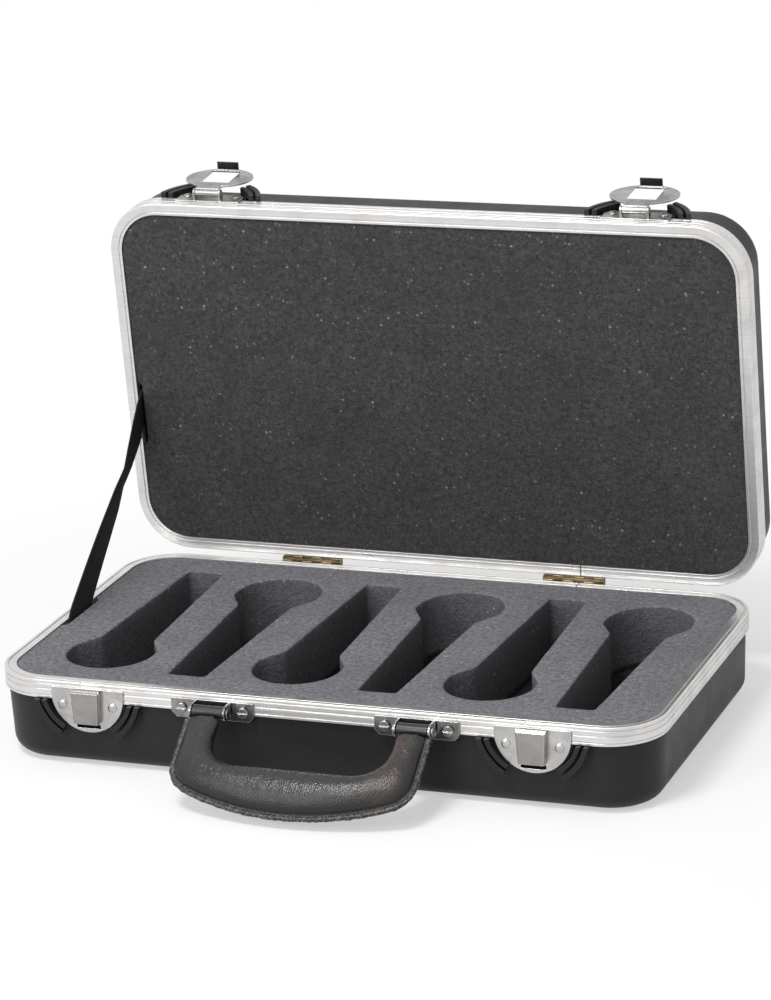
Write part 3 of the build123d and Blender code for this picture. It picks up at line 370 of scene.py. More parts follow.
    def broken_edges(self) -> bpy.types.NodeTree:
        """Build rounded normals along sharp edges.

        Returns:
            The group, which gives the normals and a mask of those edges.
        """
        tree, given, out = self.blank(Effect.BROKEN_EDGES, {"Radius": 0.0004}, ("Normal", "Edge"))
        bevel = tree.add("ShaderNodeBevel", samples=self.EDGE_SAMPLES)
        rounded = tree.feed(bevel, Radius=given["Radius"]).outputs["Normal"]
        flat = tree.add("ShaderNodeNewGeometry").outputs["Normal"]
        turn = tree.add("ShaderNodeVectorMath", operation="DOT_PRODUCT")
        tree.feed(turn, i0=rounded, i1=flat)
        tree.feed(out, Normal=rounded, Edge=tree.span(turn.outputs["Value"], *self.EDGE_SPAN))
        return tree.tree

    def plain_weave(self) -> bpy.types.NodeTree:
        """Build the threads of woven webbing from its own length and width coordinates.

        Returns:
            The group, which gives the threads' height from -1 to 1.
        """
        tree, given, out = self.blank(Effect.PLAIN_WEAVE, {"Pitch": 1.0}, ("Height",))
        ribbon = tree.parts(tree.add("ShaderNodeUVMap", uv_map=StayWebbing.uv_layer).outputs["UV"])
        waves = [tree.math("SINE", tree.product(ribbon[axis], given["Pitch"])) for axis in ("X", "Y")]
        tree.feed(out, Height=tree.product(*waves))
        return tree.tree


GROUPS = GroupKit()
Colour = tuple[float, float, float, float]


def grey(value: float, warmth: float = 0.0) -> Colour:
    """Return a linear grey, warmer above 0 and cooler below it."""
    return (value * (1 + warmth), value, value * (1 - warmth), 1.0)


def toned(colour: Colour, tone: float) -> Colour:
    """Return a colour made lighter or darker by a factor."""
    red, green, blue, alpha = colour
    return (red * tone, green * tone, blue * tone, alpha)


# ---------------------------------------------------------------------------------------------------
# Finishes
# ---------------------------------------------------------------------------------------------------


@dataclass(frozen=True)
class Finish:
    """What every finish has.

    Attributes:
        name: The material's name.
        colour: Its linear base colour.
        roughness: Its middle roughness.
    """

    name: str
    colour: Colour
    roughness: float

    def start(self) -> tuple[Tree, bpy.types.Node]:
        """Start a material with this finish's plain values.

        Returns:
            The material's tree and its shader.
        """
        material = bpy.data.materials.new(self.name)
        material.use_nodes = True
        tree = Tree(material.node_tree)
        shader = material.node_tree.nodes["Principled BSDF"]
        tree.feed(shader, Base_Color=self.colour, Roughness=self.roughness)
        return tree, shader

    def build(self) -> bpy.types.Material:
        """Return the material. Each kind of finish has its own."""
        raise NotImplementedError

    def group(self, tree: Tree, effect: Effect, **inputs: object) -> Sockets:
        """Place a shared effect in a material.

        Args:
            tree: The material's tree.
            effect: The effect.
            **inputs: Values for its inputs.

        Returns:
            The effect's output sockets.
        """
        node = tree.add("ShaderNodeGroup", node_tree=GROUPS.get(effect))
        return tree.feed(node, **inputs).outputs

    def bump(self, tree: Tree, height: object, depth: float, **start: object) -> bpy.types.NodeSocket:
        """Return a bumped normal.

        Args:
            tree: The material's tree.
            height: The height's socket.
            depth: The depth of a height of 1, in metres.
            **start: The Normal to start from, if any.

        Returns:
            The normal's socket.
        """
        node = tree.add("ShaderNodeBump")
        return tree.feed(node, Height=height, Distance=depth, **start).outputs["Normal"]

    def gloss(
        self, tree: Tree, mask: object, span: tuple[float, float], change: tuple[float, float]
    ) -> bpy.types.NodeSocket:
        """Return a roughness that a mask moves about the middle one.

        Args:
            tree: The material's tree.
            mask: The mask's socket.
            span: The mask's values at the smoothest and at the roughest.
            change: What those add to the middle roughness.

        Returns:
            The roughness's socket.
        """
        return tree.span(mask, *span, self.roughness + change[0], self.roughness + change[1])


@dataclass(frozen=True)
class MouldedPlastic(Finish):
    """Textured near-black shell plastic, a little polished where it gets handled.

    Attributes:
        specular: The shader's specular level.
        grain_scale: Pebbles per metre, roughly.
        grain_depth: Depth of the grain in metres.
        unevenness: Height of the slow unevenness under it, in grain depths.
        patch_span: The patches' range from dark to light.
        patch_tone: How much lighter the light patches are.
        gloss_span: The patches' range from smooth to rough.
        gloss_change: What those add to the roughness.
        edge_radius: Radius of the edges in metres.
        edge_highlight_and_wear: How strongly they are lightened, for wear and as a painted highlight, from 0
            to 1.
        edge_highlight_tone: How much lighter they are painted.
    """

    specular: float = 0.32
    grain_scale: float = 1100.0
    grain_depth: float = 0.00022
    unevenness: float = 0.25
    patch_span: tuple[float, float] = (0.35, 0.7)
    patch_tone: float = 1.25
    gloss_span: tuple[float, float] = (0.3, 0.75)
    gloss_change: tuple[float, float] = (-0.06, 0.08)
    edge_radius: float = 0.0006
    edge_highlight_and_wear: float = 0.7
    edge_highlight_tone: float = 4.5

    def build(self) -> bpy.types.Material:
        """Build the finish.

        Returns:
            The material.
        """
        tree, shader = self.start()
        grain = self.group(tree, Effect.PEBBLE_GRAIN, Scale=self.grain_scale, Unevenness=self.unevenness)
        edges = self.group(tree, Effect.BROKEN_EDGES, Radius=self.edge_radius)
        patches = tree.span(grain["Patches"], *self.patch_span)
        body = tree.mix(patches, self.colour, grey(self.colour[1] * self.patch_tone))
        # Edges are painted lighter: wear, and a painted highlight where light catches them.
        highlight_and_wear = tree.product(edges["Edge"], self.edge_highlight_and_wear)
        tree.feed(
            shader,
            Base_Color=tree.mix(highlight_and_wear, body, grey(self.colour[1] * self.edge_highlight_tone)),
            Roughness=self.gloss(tree, grain["Patches"], self.gloss_span, self.gloss_change),
            Specular_IOR_Level=self.specular,
            Normal=self.bump(tree, grain["Height"], self.grain_depth, Normal=edges["Normal"]),
        )
        return bpy.data.materials[self.name]


@dataclass(frozen=True)
class SatinAluminium(Finish):
    """Extruded satin aluminium with faint lines along its length.

    Attributes:
        metallic: The shader's metallic value.
        along: The line direction's stretch on X, Y and Z.
        line_span: The lines' range from light to dark.
        line_tone: How much darker the dark lines are.
        line_warmth: How much warmer they are.
        line_depth: Their depth in metres.
        dulled: Colour of the dulled patches.
        dull_span: The smudges' range from clean to dulled.
        dull_share: How far the dulled patches take that colour.
        gloss_span: The smudges' range from smooth to rough.
        gloss_change: What those add to the roughness.
        edge_radius: Radius of the edges in metres.
    """

    metallic: float = 0.85
    along: tuple[float, float, float] = (5.0, 5.0, 1800.0)
    line_span: tuple[float, float] = (0.3, 0.7)
    line_tone: float = 0.85
    line_warmth: float = 0.018
    line_depth: float = 0.00003
    dulled: Colour = grey(0.5, 0.035)
    dull_span: tuple[float, float] = (0.45, 0.75)
    dull_share: float = 0.55
    gloss_span: tuple[float, float] = (0.3, 0.75)
    gloss_change: tuple[float, float] = (-0.07, 0.1)
    edge_radius: float = 0.0005

    def build(self) -> bpy.types.Material:
        """Build the finish.

        Returns:
            The material.
        """
        tree, shader = self.start()
        x, y, z = self.along
        lines = self.group(tree, Effect.DRAWN_LINES, Stretch_X=x, Stretch_Y=y, Stretch_Z=z)
        edges = self.group(tree, Effect.BROKEN_EDGES, Radius=self.edge_radius)
        streaks = tree.span(lines["Lines"], *self.line_span)
        body = tree.mix(streaks, self.colour, grey(self.colour[1] * self.line_tone, self.line_warmth))
        dull = tree.span(lines["Smudges"], *self.dull_span, 0.0, self.dull_share)
        tree.feed(
            shader,
            Base_Color=tree.mix(dull, body, self.dulled),
            Metallic=self.metallic,
            Roughness=self.gloss(tree, lines["Smudges"], self.gloss_span, self.gloss_change),
            Normal=self.bump(tree, streaks, self.line_depth, Normal=edges["Normal"]),
        )
        return bpy.data.materials[self.name]


@dataclass(frozen=True)
class OpenFoam(Finish):
    """Open-cell foam with dense grain and a few bright cells.

    Attributes:
        bright: Colour of the bright cells.
        contrast: How far the grain goes lighter and darker, as a share.
        speck_share: Share of cells that are bright.
        depth: Depth of the cells in metres.
        specular: The shader's specular level.
        patch_span: The patches' range from plain to dark.
        patch_share: How dark the dark patches are, as a share of the dark grain.
        painted_wall_shade: How far the upright walls of a cut take a darker tone, as painted shade.
        wall_shade_tone: That tone, as a factor.
        wall_shade_span: The steepness, as the normal's height, of a wholly shaded wall and of an open face.
    """

    bright: Colour = grey(0.4)
    contrast: float = 0.3
    speck_share: float = 0.12
    depth: float = 0.0004
    specular: float = 0.15
    patch_span: tuple[float, float] = (0.35, 0.65)
    patch_share: float = 0.3
    painted_wall_shade: float = 0.0
    wall_shade_tone: float = 0.5
    wall_shade_span: tuple[float, float] = (0.15, 0.7)

    def build(self) -> bpy.types.Material:
        """Build the finish.

        Returns:
            The material.
        """
        tree, shader = self.start()
        cells = self.group(tree, Effect.FOAM_CELLS, Speck_Share=self.speck_share)
        dark, light = (toned(self.colour, 1 + side * self.contrast) for side in (-1, 1))
        grained = tree.mix(cells["Grain"], dark, light)
        patches = tree.span(cells["Patches"], *self.patch_span, 0.0, self.patch_share)
        shaded = tree.mix(patches, grained, dark)
        # Upright walls are darkened: painted shade in the cuts.
        if self.painted_wall_shade:
            shaded = tree.mix(self.shaded_walls(tree), shaded, toned(self.colour, self.wall_shade_tone))
        tree.feed(
            shader,
            Base_Color=tree.mix(cells["Bright Specks"], shaded, self.bright),
            Specular_IOR_Level=self.specular,
            Normal=self.bump(tree, cells["Grain"], self.depth),
        )
        return bpy.data.materials[self.name]

    def shaded_walls(self, tree: Tree) -> bpy.types.NodeSocket:
        """Return a mask of the upright walls, which are darkened as painted shade."""
        facing = tree.parts(tree.add("ShaderNodeTexCoord").outputs["Normal"])
        return tree.span(tree.math("ABSOLUTE", facing["Z"]), *self.wall_shade_span, self.painted_wall_shade, 0.0)


@dataclass(frozen=True)
class PlatedSteel(Finish):
    """Plated, painted or plain metal fittings, with soft smudges and bright edges.

    Attributes:
        mottle: How much darker the smudges are, as a share.
        metallic: The shader's metallic value.
        smudge_span: The smudges' range from clean to dark.
        gloss_change: What a clean place and a smudge add to the roughness.
        stretch: The lines' scale, the same every way.
        line_depth: Depth of the lines in metres.
        edge_colour: Colour of the edges, brighter for wear on the plating and as a painted highlight.
        edge_highlight_and_wear: How strongly they take it, from 0 to 1.
        edge_radius: Radius of the edges in metres.
    """

    mottle: float = 0.25
    metallic: float = 1.0
    smudge_span: tuple[float, float] = (0.35, 0.7)
    gloss_change: tuple[float, float] = (-0.05, 0.1)
    stretch: float = 300.0
    line_depth: float = 0.00004
    edge_colour: Colour = grey(0.9)
    edge_highlight_and_wear: float = 0.8
    edge_radius: float = 0.0004

    def build(self) -> bpy.types.Material:
        """Build the finish.

        Returns:
            The material.
        """
        tree, shader = self.start()
        scale = {f"Stretch_{axis}": self.stretch for axis in "XYZ"}
        lines = self.group(tree, Effect.DRAWN_LINES, **scale)
        edges = self.group(tree, Effect.BROKEN_EDGES, Radius=self.edge_radius)
        smudges = tree.span(lines["Smudges"], *self.smudge_span)
        body = tree.mix(smudges, self.colour, toned(self.colour, 1 - self.mottle))
        # The edges take a lighter colour: wear on the plating and a painted highlight.
        bright = tree.mix(tree.product(edges["Edge"], self.edge_highlight_and_wear), body, self.edge_colour)
        tree.feed(
            shader,
            Base_Color=self.finished(tree, bright),
            Metallic=self.metallic,
            Roughness=self.gloss(tree, smudges, (0.0, 1.0), self.gloss_change),
            Normal=self.bump(tree, lines["Lines"], self.line_depth, Normal=edges["Normal"]),
        )
        return bpy.data.materials[self.name]

    def finished(self, tree: Tree, body: bpy.types.NodeSocket) -> bpy.types.NodeSocket:
        """Return the colour as it is, for a kind of plating to change."""
        return body


@dataclass(frozen=True)
class BlackTippedSteel(PlatedSteel):
    """Plated steel whose hook is coloured near black.

    Attributes:
        tip: Colour of the hook.
        tip_height: Height above which it is black, in metres, as the lid stands open.
        tip_fade: Height over which the black starts, in metres.
    """

    tip: Colour = grey(0.035)
    tip_height: float = 0.2929
    tip_fade: float = 0.0004

    def finished(self, tree: Tree, body: bpy.types.NodeSocket) -> bpy.types.NodeSocket:
        """Return the colour with its black hook."""
        height = tree.parts(tree.place())["Z"]
        return tree.mix(tree.span(height, self.tip_height, self.tip_height + self.tip_fade), body, self.tip)


@dataclass(frozen=True)
class BlackWebbing(Finish):
    """Black woven webbing.

    Attributes:
        pitch: Thread waves per metre of ribbon, in radians.
        depth: Depth of the weave in metres.
        tones: How much darker and lighter its low and its high threads are, as factors.
        specular: The shader's specular level.
    """

    pitch: float = 2 * math.pi / 0.0016
    depth: float = 0.00012
    tones: tuple[float, float] = (0.5, 1.6)
    specular: float = 0.3

    def build(self) -> bpy.types.Material:
        """Build the finish.

        Returns:
            The material.
        """
        tree, shader = self.start()
        height = self.group(tree, Effect.PLAIN_WEAVE, Pitch=self.pitch)["Height"]
        low, high = (grey(self.colour[1] * tone) for tone in self.tones)
        tree.feed(
            shader,
            Base_Color=tree.mix(tree.span(height, -1.0, 1.0), low, high),
            Specular_IOR_Level=self.specular,
            Normal=self.bump(tree, height, self.depth),
        )
        return bpy.data.materials[self.name]


@dataclass(frozen=True)
class GrainedGrip(Finish):
    """Black leather-grained grip with wrinkles across it, a soft shine and painted highlights.

    Its coordinates run along the grip in metres, and from 0 on the inner side through 0.5 at the
    welt back to 1.

    Attributes:
        specular: The shader's specular level.
        grain_scale: Pebbles per metre, roughly.
        grain_depth: Depth of the grain in metres.
        unevenness: Height of the slow unevenness under it, in grain depths.
        patch_span: The patches' range from dark to light.
        patch_colour: How much lighter, and how warm, the light patches are.
        gloss_span: The patches' range from smooth to rough.
        gloss_change: What those add to the roughness.
        wrinkle_depth: Depth of the wrinkles in metres.
        wrinkles_along: Wrinkles per metre of the grip.
        wrinkles_around: How far they slant, in wrinkles round the grip.
        wrinkle_bend: How much they wander.
        fold_span: The wrinkles' range from valley to ridge.
        fold_share: How far the ridges take their lighter tone.
        fold_tone: That tone, as a factor.
        painted_highlight: Colour of the inner side, a lighter painted highlight where the grip's shine falls.
        highlight_span: How far from the welt the painted highlight starts and is full, in turns.
        highlight_grain: The grain's heights that take most and least of the painted highlight.
        highlight_least: Share of the painted highlight in the grain's valleys.
        polish: How much smoother the inner side is.
        highlight_and_wear: Colour of the right arm's inner side, a brownish painted highlight and wear.
        highlight_and_wear_share: How far it takes that colour.
        arm_mark_start: Where the marked arm starts and is full, in x and metres.
        arm_mark_end: Where it starts to end and ends.
        streak_scale: Scale of the streaks that break it up.
        streak_span: Their range from whole to marked.
        crest_span: The wrinkles' heights that are least and most marked.
        crest_least: Share of the mark in the wrinkles' valleys.
        scuff: Colour of the scuffs on the welt.
        scuff_span: How far from the welt's middle they start and end to fade, in turns.
        chip_scale: Scale of the scuffs.
        chip_span: Their range from whole to scuffed.
        chip_share: How far a scuff takes its colour.
    """

    specular: float = 0.46
    grain_scale: float = 1300.0
    grain_depth: float = 0.00016
    unevenness: float = 0.5
    patch_span: tuple[float, float] = (0.45, 0.7)
    patch_colour: tuple[float, float] = (1.6, 0.05)
    gloss_span: tuple[float, float] = (0.3, 0.7)
    gloss_change: tuple[float, float] = (-0.06, 0.1)
    wrinkle_depth: float = 0.0004
    wrinkles_along: float = 330.0
    wrinkles_around: float = 11.0
    wrinkle_bend: float = 0.7
    fold_span: tuple[float, float] = (0.2, 1.6)
    fold_share: float = 0.4
    fold_tone: float = 2.4
    painted_highlight: Colour = grey(0.085, 0.03)
    highlight_span: tuple[float, float] = (0.17, 0.33)
    highlight_grain: tuple[float, float] = (0.2, 0.55)
    highlight_least: float = 0.2
    polish: float = 0.2
    highlight_and_wear: Colour = (0.16, 0.075, 0.045, 1.0)
    highlight_and_wear_share: float = 0.85
    arm_mark_start: tuple[float, float] = (0.042, 0.06)
    arm_mark_end: tuple[float, float] = (0.064, 0.07)
    streak_scale: float = 130.0
    streak_span: tuple[float, float] = (0.4, 0.58)
    crest_span: tuple[float, float] = (0.1, 0.6)
    crest_least: float = 0.25
    scuff: Colour = grey(0.22)
    scuff_span: tuple[float, float] = (0.03, 0.12)
    chip_scale: float = 750.0
    chip_span: tuple[float, float] = (0.5, 0.68)
    chip_share: float = 0.9

    def build(self) -> bpy.types.Material:
        """Build the finish.

        Returns:
            The material.
        """
        tree, shader = self.start()
        grain = self.group(tree, Effect.PEBBLE_GRAIN, Scale=self.grain_scale, Unevenness=self.unevenness)
        uv = tree.parts(tree.add("ShaderNodeUVMap", uv_map=CarryHandle.uv_layer).outputs["UV"])
        from_welt = tree.math("ABSOLUTE", tree.math("SUBTRACT", uv["Y"], 0.5))
        folds = self.wrinkles(tree, uv)
        tone, warmth = self.patch_colour
        light = tree.span(grain["Patches"], *self.patch_span)
        body = tree.mix(light, self.colour, grey(self.colour[1] * tone, warmth))
        body = tree.mix(tree.product(folds, self.fold_share), body, grey(self.colour[1] * self.fold_tone))
        # The inner side is painted lighter as a highlight, and it is also made smoother.
        inner = tree.span(from_welt, *self.highlight_span)
        high = tree.span(grain["Height"], *self.highlight_grain, 1.0, self.highlight_least)
        body = tree.mix(tree.product(inner, high), body, self.painted_highlight)
        # A brownish painted highlight and wear on the right arm's inner side.
        body = tree.mix(tree.product(self.arm_highlight_and_wear(tree, folds), self.highlight_and_wear_share), body, self.highlight_and_wear)
        body = tree.mix(self.scuffed_welt(tree, from_welt), body, self.scuff)
        dull = self.gloss(tree, grain["Patches"], self.gloss_span, self.gloss_change)
        creased = self.bump(tree, folds, self.wrinkle_depth)
        tree.feed(
            shader,
            Base_Color=body,
            Roughness=tree.math("SUBTRACT", dull, tree.product(inner, self.polish)),
            Specular_IOR_Level=self.specular,
            Normal=self.bump(tree, grain["Height"], self.grain_depth, Normal=creased),
        )
        return bpy.data.materials[self.name]

    def wrinkles(self, tree: Tree, uv: Sockets) -> bpy.types.NodeSocket:
        """Make the slanting wrinkles.

        Args:
            tree: The material's tree.
            uv: The grip's own coordinates.

        Returns:
            Their height's socket, from 0 to 1.
        """
        along = tree.product(uv["X"], self.wrinkles_along)
        around = tree.product(uv["Y"], self.wrinkles_around)
        slanted = tree.add("ShaderNodeCombineXYZ")
        tree.feed(slanted, X=tree.math("ADD", along, around), Y=around)
        ridges = tree.add("ShaderNodeTexNoise", noise_type="RIDGED_MULTIFRACTAL")
        tree.feed(ridges, Vector=slanted.outputs["Vector"], Scale=1.0, Detail=3.0)
        tree.feed(ridges, Distortion=self.wrinkle_bend)
        return tree.span(ridges.outputs["Fac"], *self.fold_span)

    def arm_highlight_and_wear(self, tree: Tree, folds: bpy.types.NodeSocket) -> bpy.types.NodeSocket:
        """Mask the right arm's inner side, where a brownish painted highlight and wear lie.

        Args:
            tree: The material's tree.
            folds: The wrinkles' height.

        Returns:
            The mask's socket.
        """
        place = tree.place()
        x = tree.parts(place)["X"]
        streaks = tree.noise(place, self.streak_scale, Detail=4.0, Roughness=0.7, Distortion=1.0)
        return tree.product(
            tree.span(x, *self.arm_mark_start),
            tree.span(x, *self.arm_mark_end, 1.0, 0.0),
            tree.span(streaks, *self.streak_span),
            tree.span(folds, *self.crest_span, self.crest_least, 1.0),
        )

    def scuffed_welt(self, tree: Tree, from_welt: bpy.types.NodeSocket) -> bpy.types.NodeSocket:
        """Return a mask of pale scuffs along the welt."""
        band = tree.span(from_welt, *self.scuff_span, 1.0, 0.0)
        chips = tree.noise(tree.place(), self.chip_scale, Detail=3.0, Roughness=0.75)
        return tree.product(band, tree.span(chips, *self.chip_span, 0.0, self.chip_share))


SHELL_PLASTIC = MouldedPlastic("shell plastic", grey(0.013), 0.44, specular=0.22)
FOOT_RUBBER = MouldedPlastic("foot rubber", grey(0.03), 0.8, specular=0.2)
FRAME_ALUMINIUM = SatinAluminium("satin aluminium", grey(0.74, 0.014), 0.32)
# The base foam's upright cut walls are darkened as painted shade.
BASE_FOAM = OpenFoam(
    "base foam", (0.19, 0.188, 0.202, 1.0), 0.95, bright=grey(0.55), contrast=0.5, painted_wall_shade=0.65
)
# The pad shows only at the pocket floors; its darker colour is partly its own and partly painted shade for
# those recesses.
PAD_FOAM = OpenFoam("pad foam", grey(0.03, -0.01), 0.95, bright=grey(0.15))
LID_FOAM = OpenFoam(
    "lid foam", grey(0.054, -0.012), 0.95, bright=grey(0.32), contrast=0.45, speck_share=0.22
)
PLATE_NICKEL = PlatedSteel("plate nickel", grey(0.55, 0.02), 0.3, mottle=0.35)
LEVER_NICKEL = PlatedSteel("lever nickel", grey(0.34, 0.04), 0.26, mottle=0.3)
HASP_NICKEL = BlackTippedSteel("hasp nickel", grey(0.4, 0.02), 0.3, mottle=0.5)
HANDLE_NICKEL = PlatedSteel("handle nickel", grey(0.3, 0.02), 0.22, mottle=0.6)
BRIGHT_ZINC = PlatedSteel("bright zinc", grey(0.3, 0.01), 0.22, mottle=0.5)
HINGE_BRASS = PlatedSteel(
    "dull brass", (0.1, 0.075, 0.04, 1.0), 0.4, mottle=0.75, edge_colour=(0.6, 0.48, 0.26, 1.0)
)
DARK_STEEL = PlatedSteel("dark steel", grey(0.12), 0.38, edge_colour=grey(0.3))
BLACK_PAINT = PlatedSteel("black paint", grey(0.012), 0.35, metallic=0.0, edge_colour=grey(0.06))
WEBBING = BlackWebbing("black webbing", grey(0.016), 0.75)
GRIP = GrainedGrip("grained grip", grey(0.005, 0.03), 0.4)


# ---------------------------------------------------------------------------------------------------
# Dressing and new pieces
# ---------------------------------------------------------------------------------------------------


class Dresser:
    """Gives finishes to CAD nodes and to new pieces."""

    def __init__(self) -> None:
        """Start with no materials made."""
        self.materials: dict[str, bpy.types.Material] = {}

    def material(self, finish: Finish) -> bpy.types.Material:
        """Return a finish's material, building it on first use."""
        if finish.name not in self.materials:
            self.materials[finish.name] = finish.build()
        return self.materials[finish.name]

    def dress(self, finish: Finish, *nodes: str) -> None:
        """Put a finish on CAD nodes.

        Args:
            finish: The finish.
            *nodes: The nodes' names.
        """
        for name in nodes:
            node = frame["nodes"][name]
            node.data.materials.clear()
            node.data.materials.append(self.material(finish))
        LOG.info("%s on %s", finish.name, ", ".join(nodes))

    def cover(self, piece: bpy.types.Object, finish: Finish) -> None:
        """Put a finish on a new piece.

        Args:
            piece: The piece.
            finish: The finish.
        """
        piece.data.materials.clear()
        piece.data.materials.append(self.material(finish))


DRESSER = Dresser()


class Hand(Enum):
    """The two sides of a paired node, as its name ends."""

    LEFT = "left"
    RIGHT = "right"


def both(name: str) -> list[str]:
    """Return the left and right names of a paired node."""
    return [f"{name}_{hand.value}" for hand in Hand]


def new_piece(name: str, mesh_maker: bmesh.types.BMesh, smooth: bool = True) -> bpy.types.Object:
    """Return an object made from a bmesh, which is then freed.

    Args:
        name: The object's name.
        mesh_maker: The bmesh.
        smooth: Whether its faces are shaded smooth.

    Returns:
        The linked object.
    """
    mesh = bpy.data.meshes.new(name)
    bmesh.ops.recalc_face_normals(mesh_maker, faces=mesh_maker.faces)
    mesh_maker.to_mesh(mesh)
    mesh_maker.free()
    if smooth:
        mesh.shade_smooth()
    piece = bpy.data.objects.new(name, mesh)
    bpy.context.scene.collection.objects.link(piece)
    return piece


# ---------------------------------------------------------------------------------------------------
# Lid place
# ---------------------------------------------------------------------------------------------------


@dataclass(frozen=True)
class LidPlace:
    """Where the lid's shut coordinates lie when it stands open.

    Attributes:
        hinge: A point on the hinge axis.
        open_angle: How far the lid has turned back, in degrees.
    """

    hinge: Vector
    open_angle: float

    @classmethod
    def from_frame(cls) -> "LidPlace":
        """Read the hinge from the frame."""
        hinge = joint("lid_hinge")
        return cls(Vector(hinge["pos_m"]), hinge["range_deg"][1])

    def matrix(self) -> Matrix:
        """Return the turn from shut to open."""
        turn = Matrix.Rotation(-math.radians(self.open_angle), 4, "X")
        return Matrix.Translation(self.hinge) @ turn @ Matrix.Translation(-self.hinge)


LID = LidPlace.from_frame()


# ---------------------------------------------------------------------------------------------------
# Outlines
# ---------------------------------------------------------------------------------------------------


class Outline:
    """A line of evenly spaced points through rounded corners, in millimetres.

    Attributes:
        CORNER_PARTS: The fewest parts of a rounded corner.
        LINE_PARTS: The fewest parts of a whole line.
    """

    CORNER_PARTS = 3
    LINE_PARTS = 4

    def __init__(self, points: Sequence[Vector]) -> None:
        """Keep the points.

        Args:
            points: Flat points, in order.
        """
        self.points = [Vector(point) for point in points]

    @classmethod
    def rounded(
        cls, corners: Sequence[tuple[float, float]], radii: Sequence[float], step: float, closed: bool
    ) -> "Outline":
        """Return a line through corners, each of them rounded.

        Args:
            corners: The corners' coordinates.
            radii: Each corner's radius.
            step: The distance between points.
            closed: Whether the line comes back to its start.

        Returns:
            The rounded line.
        """
        count = len(corners)
        places = [Vector(corner) for corner in corners]
        sparse: list[Vector] = []
        for index, corner in enumerate(places):
            if not closed and index in (0, count - 1):
                sparse.append(corner)
                continue
            before = (places[index - 1] - corner).normalized()
            after = (places[(index + 1) % count] - corner).normalized()
            half = before.angle(after) / 2
            centre = corner + (before + after).normalized() * (radii[index] / math.sin(half))
            first = corner + before * (radii[index] / math.tan(half)) - centre
            last = corner + after * (radii[index] / math.tan(half)) - centre
            sweep = math.pi - 2 * half
            parts = max(cls.CORNER_PARTS, round(sweep * radii[index] / step))
            for part in range(parts + 1):
                share = part / parts
                weight = math.sin((1 - share) * sweep), math.sin(share * sweep)
                sparse.append(centre + (first * weight[0] + last * weight[1]) / math.sin(sweep))
        return cls(cls.spread(sparse, step, closed))

    @classmethod
    def spread(cls, points: Sequence[Vector], step: float, closed: bool) -> list[Vector]:
        """Return points spaced evenly along a line.

        Args:
            points: The line's points.
            step: The wanted distance.
            closed: Whether the line comes back to its start.

        Returns:
            The even points, without a repeated end on a closed line.
        """
        ends = [*points, points[0]] if closed else list(points)
        lengths = [(b - a).length for a, b in zip(ends, ends[1:])]
        total = sum(lengths)
        parts = max(cls.LINE_PARTS, round(total / step))
        even: list[Vector] = []
        leg, walked = 0, 0.0
        for part in range(parts if closed else parts + 1):
            target = total * part / parts
            while leg < len(lengths) - 1 and walked + lengths[leg] < target:
                walked += lengths[leg]
                leg += 1
            share = (target - walked) / lengths[leg] if lengths[leg] else 0.0
            even.append(ends[leg].lerp(ends[leg + 1], min(1.0, share)))
        return even

    def outward(self) -> list[Vector]:
        """Find which way is out along a closed line.

        Returns:
            Each point's outward direction.
        """
        turn = sum(a.x * b.y - a.y * b.x for a, b in zip(self.points, self.points[1:] + self.points[:1]))
        side = 1.0 if turn > 0 else -1.0
        count = len(self.points)
        found = []
        for index in range(count):
            along = self.points[(index + 1) % count] - self.points[index - 1]
            found.append(Vector((along.y, -along.x)).normalized() * side)
        return found

    def holds(self, point: Vector) -> bool:
        """Tell whether a closed line goes round a point.

        Args:
            point: A flat point.

        Returns:
            True if the point is inside.
        """
        inside = False
        for a, b in zip(self.points, self.points[1:] + self.points[:1]):
            if (a.y > point.y) != (b.y > point.y):
                inside ^= point.x < (b.x - a.x) * (point.y - a.y) / (b.y - a.y) + a.x
        return inside

    def distance(self, point: Vector) -> float:
        """Return the distance from a point to the nearest point of the line."""
        return min((place - point).length for place in self.points)


def swell(place: Vector, size: float, amount: float) -> float:
    """Return a smooth unevenness.

    Args:
        place: Where it is read.
        size: How far apart its waves are.
        amount: Its height.

    Returns:
        The height there.
    """
    return noise.noise(place / size) * amount


# ---------------------------------------------------------------------------------------------------
# Foam
# ---------------------------------------------------------------------------------------------------


class HeadEnd(Enum):
    """Where a microphone's head lies, as the sign of y."""

    FRONT = -1
    BACK = 1


@dataclass(frozen=True)
class FoamCut:
    """One microphone's outline, cut through the upper foam layer.

    Attributes:
        length: From the head's end to the tail.
        head_radius: Radius of the head.
        shoulder_drop: From the head's end to the shoulders.
        neck_drop: From the head's end to the neck.
        neck_half_width: Half the neck's width.
        tail_half_width: Half the tail's width.
        shoulder_round: Radius at the shoulders and the neck.
        tail_round: Radius at the tail's corners.
        head_flat: How far the head's corners stay from meeting in its middle.
    """

    length: float = 170.0
    head_radius: float = 26.0
    shoulder_drop: float = 34.0
    neck_drop: float = 50.0
    neck_half_width: float = 16.5
    tail_half_width: float = 11.3
    shoulder_round: float = 8.0
    tail_round: float = 1.2
    head_flat: float = 0.01

    def outline(self, centre: Vector, head: HeadEnd, step: float) -> Outline:
        """Return the cut's outline.

        Args:
            centre: Middle of the cut.
            head: Where its head lies.
            step: The distance between points.

        Returns:
            The closed outline.
        """
        right = (
            (self.head_radius, 0.0, self.head_radius - self.head_flat),
            (self.head_radius, self.shoulder_drop, self.shoulder_round),
            (self.neck_half_width, self.neck_drop, self.shoulder_round),
            (self.tail_half_width, self.length, self.tail_round),
        )
        left = tuple((-x, drop, radius) for x, drop, radius in reversed(right))
        head_end = centre.y + head.value * self.length / 2
        corners = [(centre.x + x, head_end - head.value * drop) for x, drop, _ in right + left]
        return Outline.rounded(corners, [radius for _, _, radius in right + left], step, True)


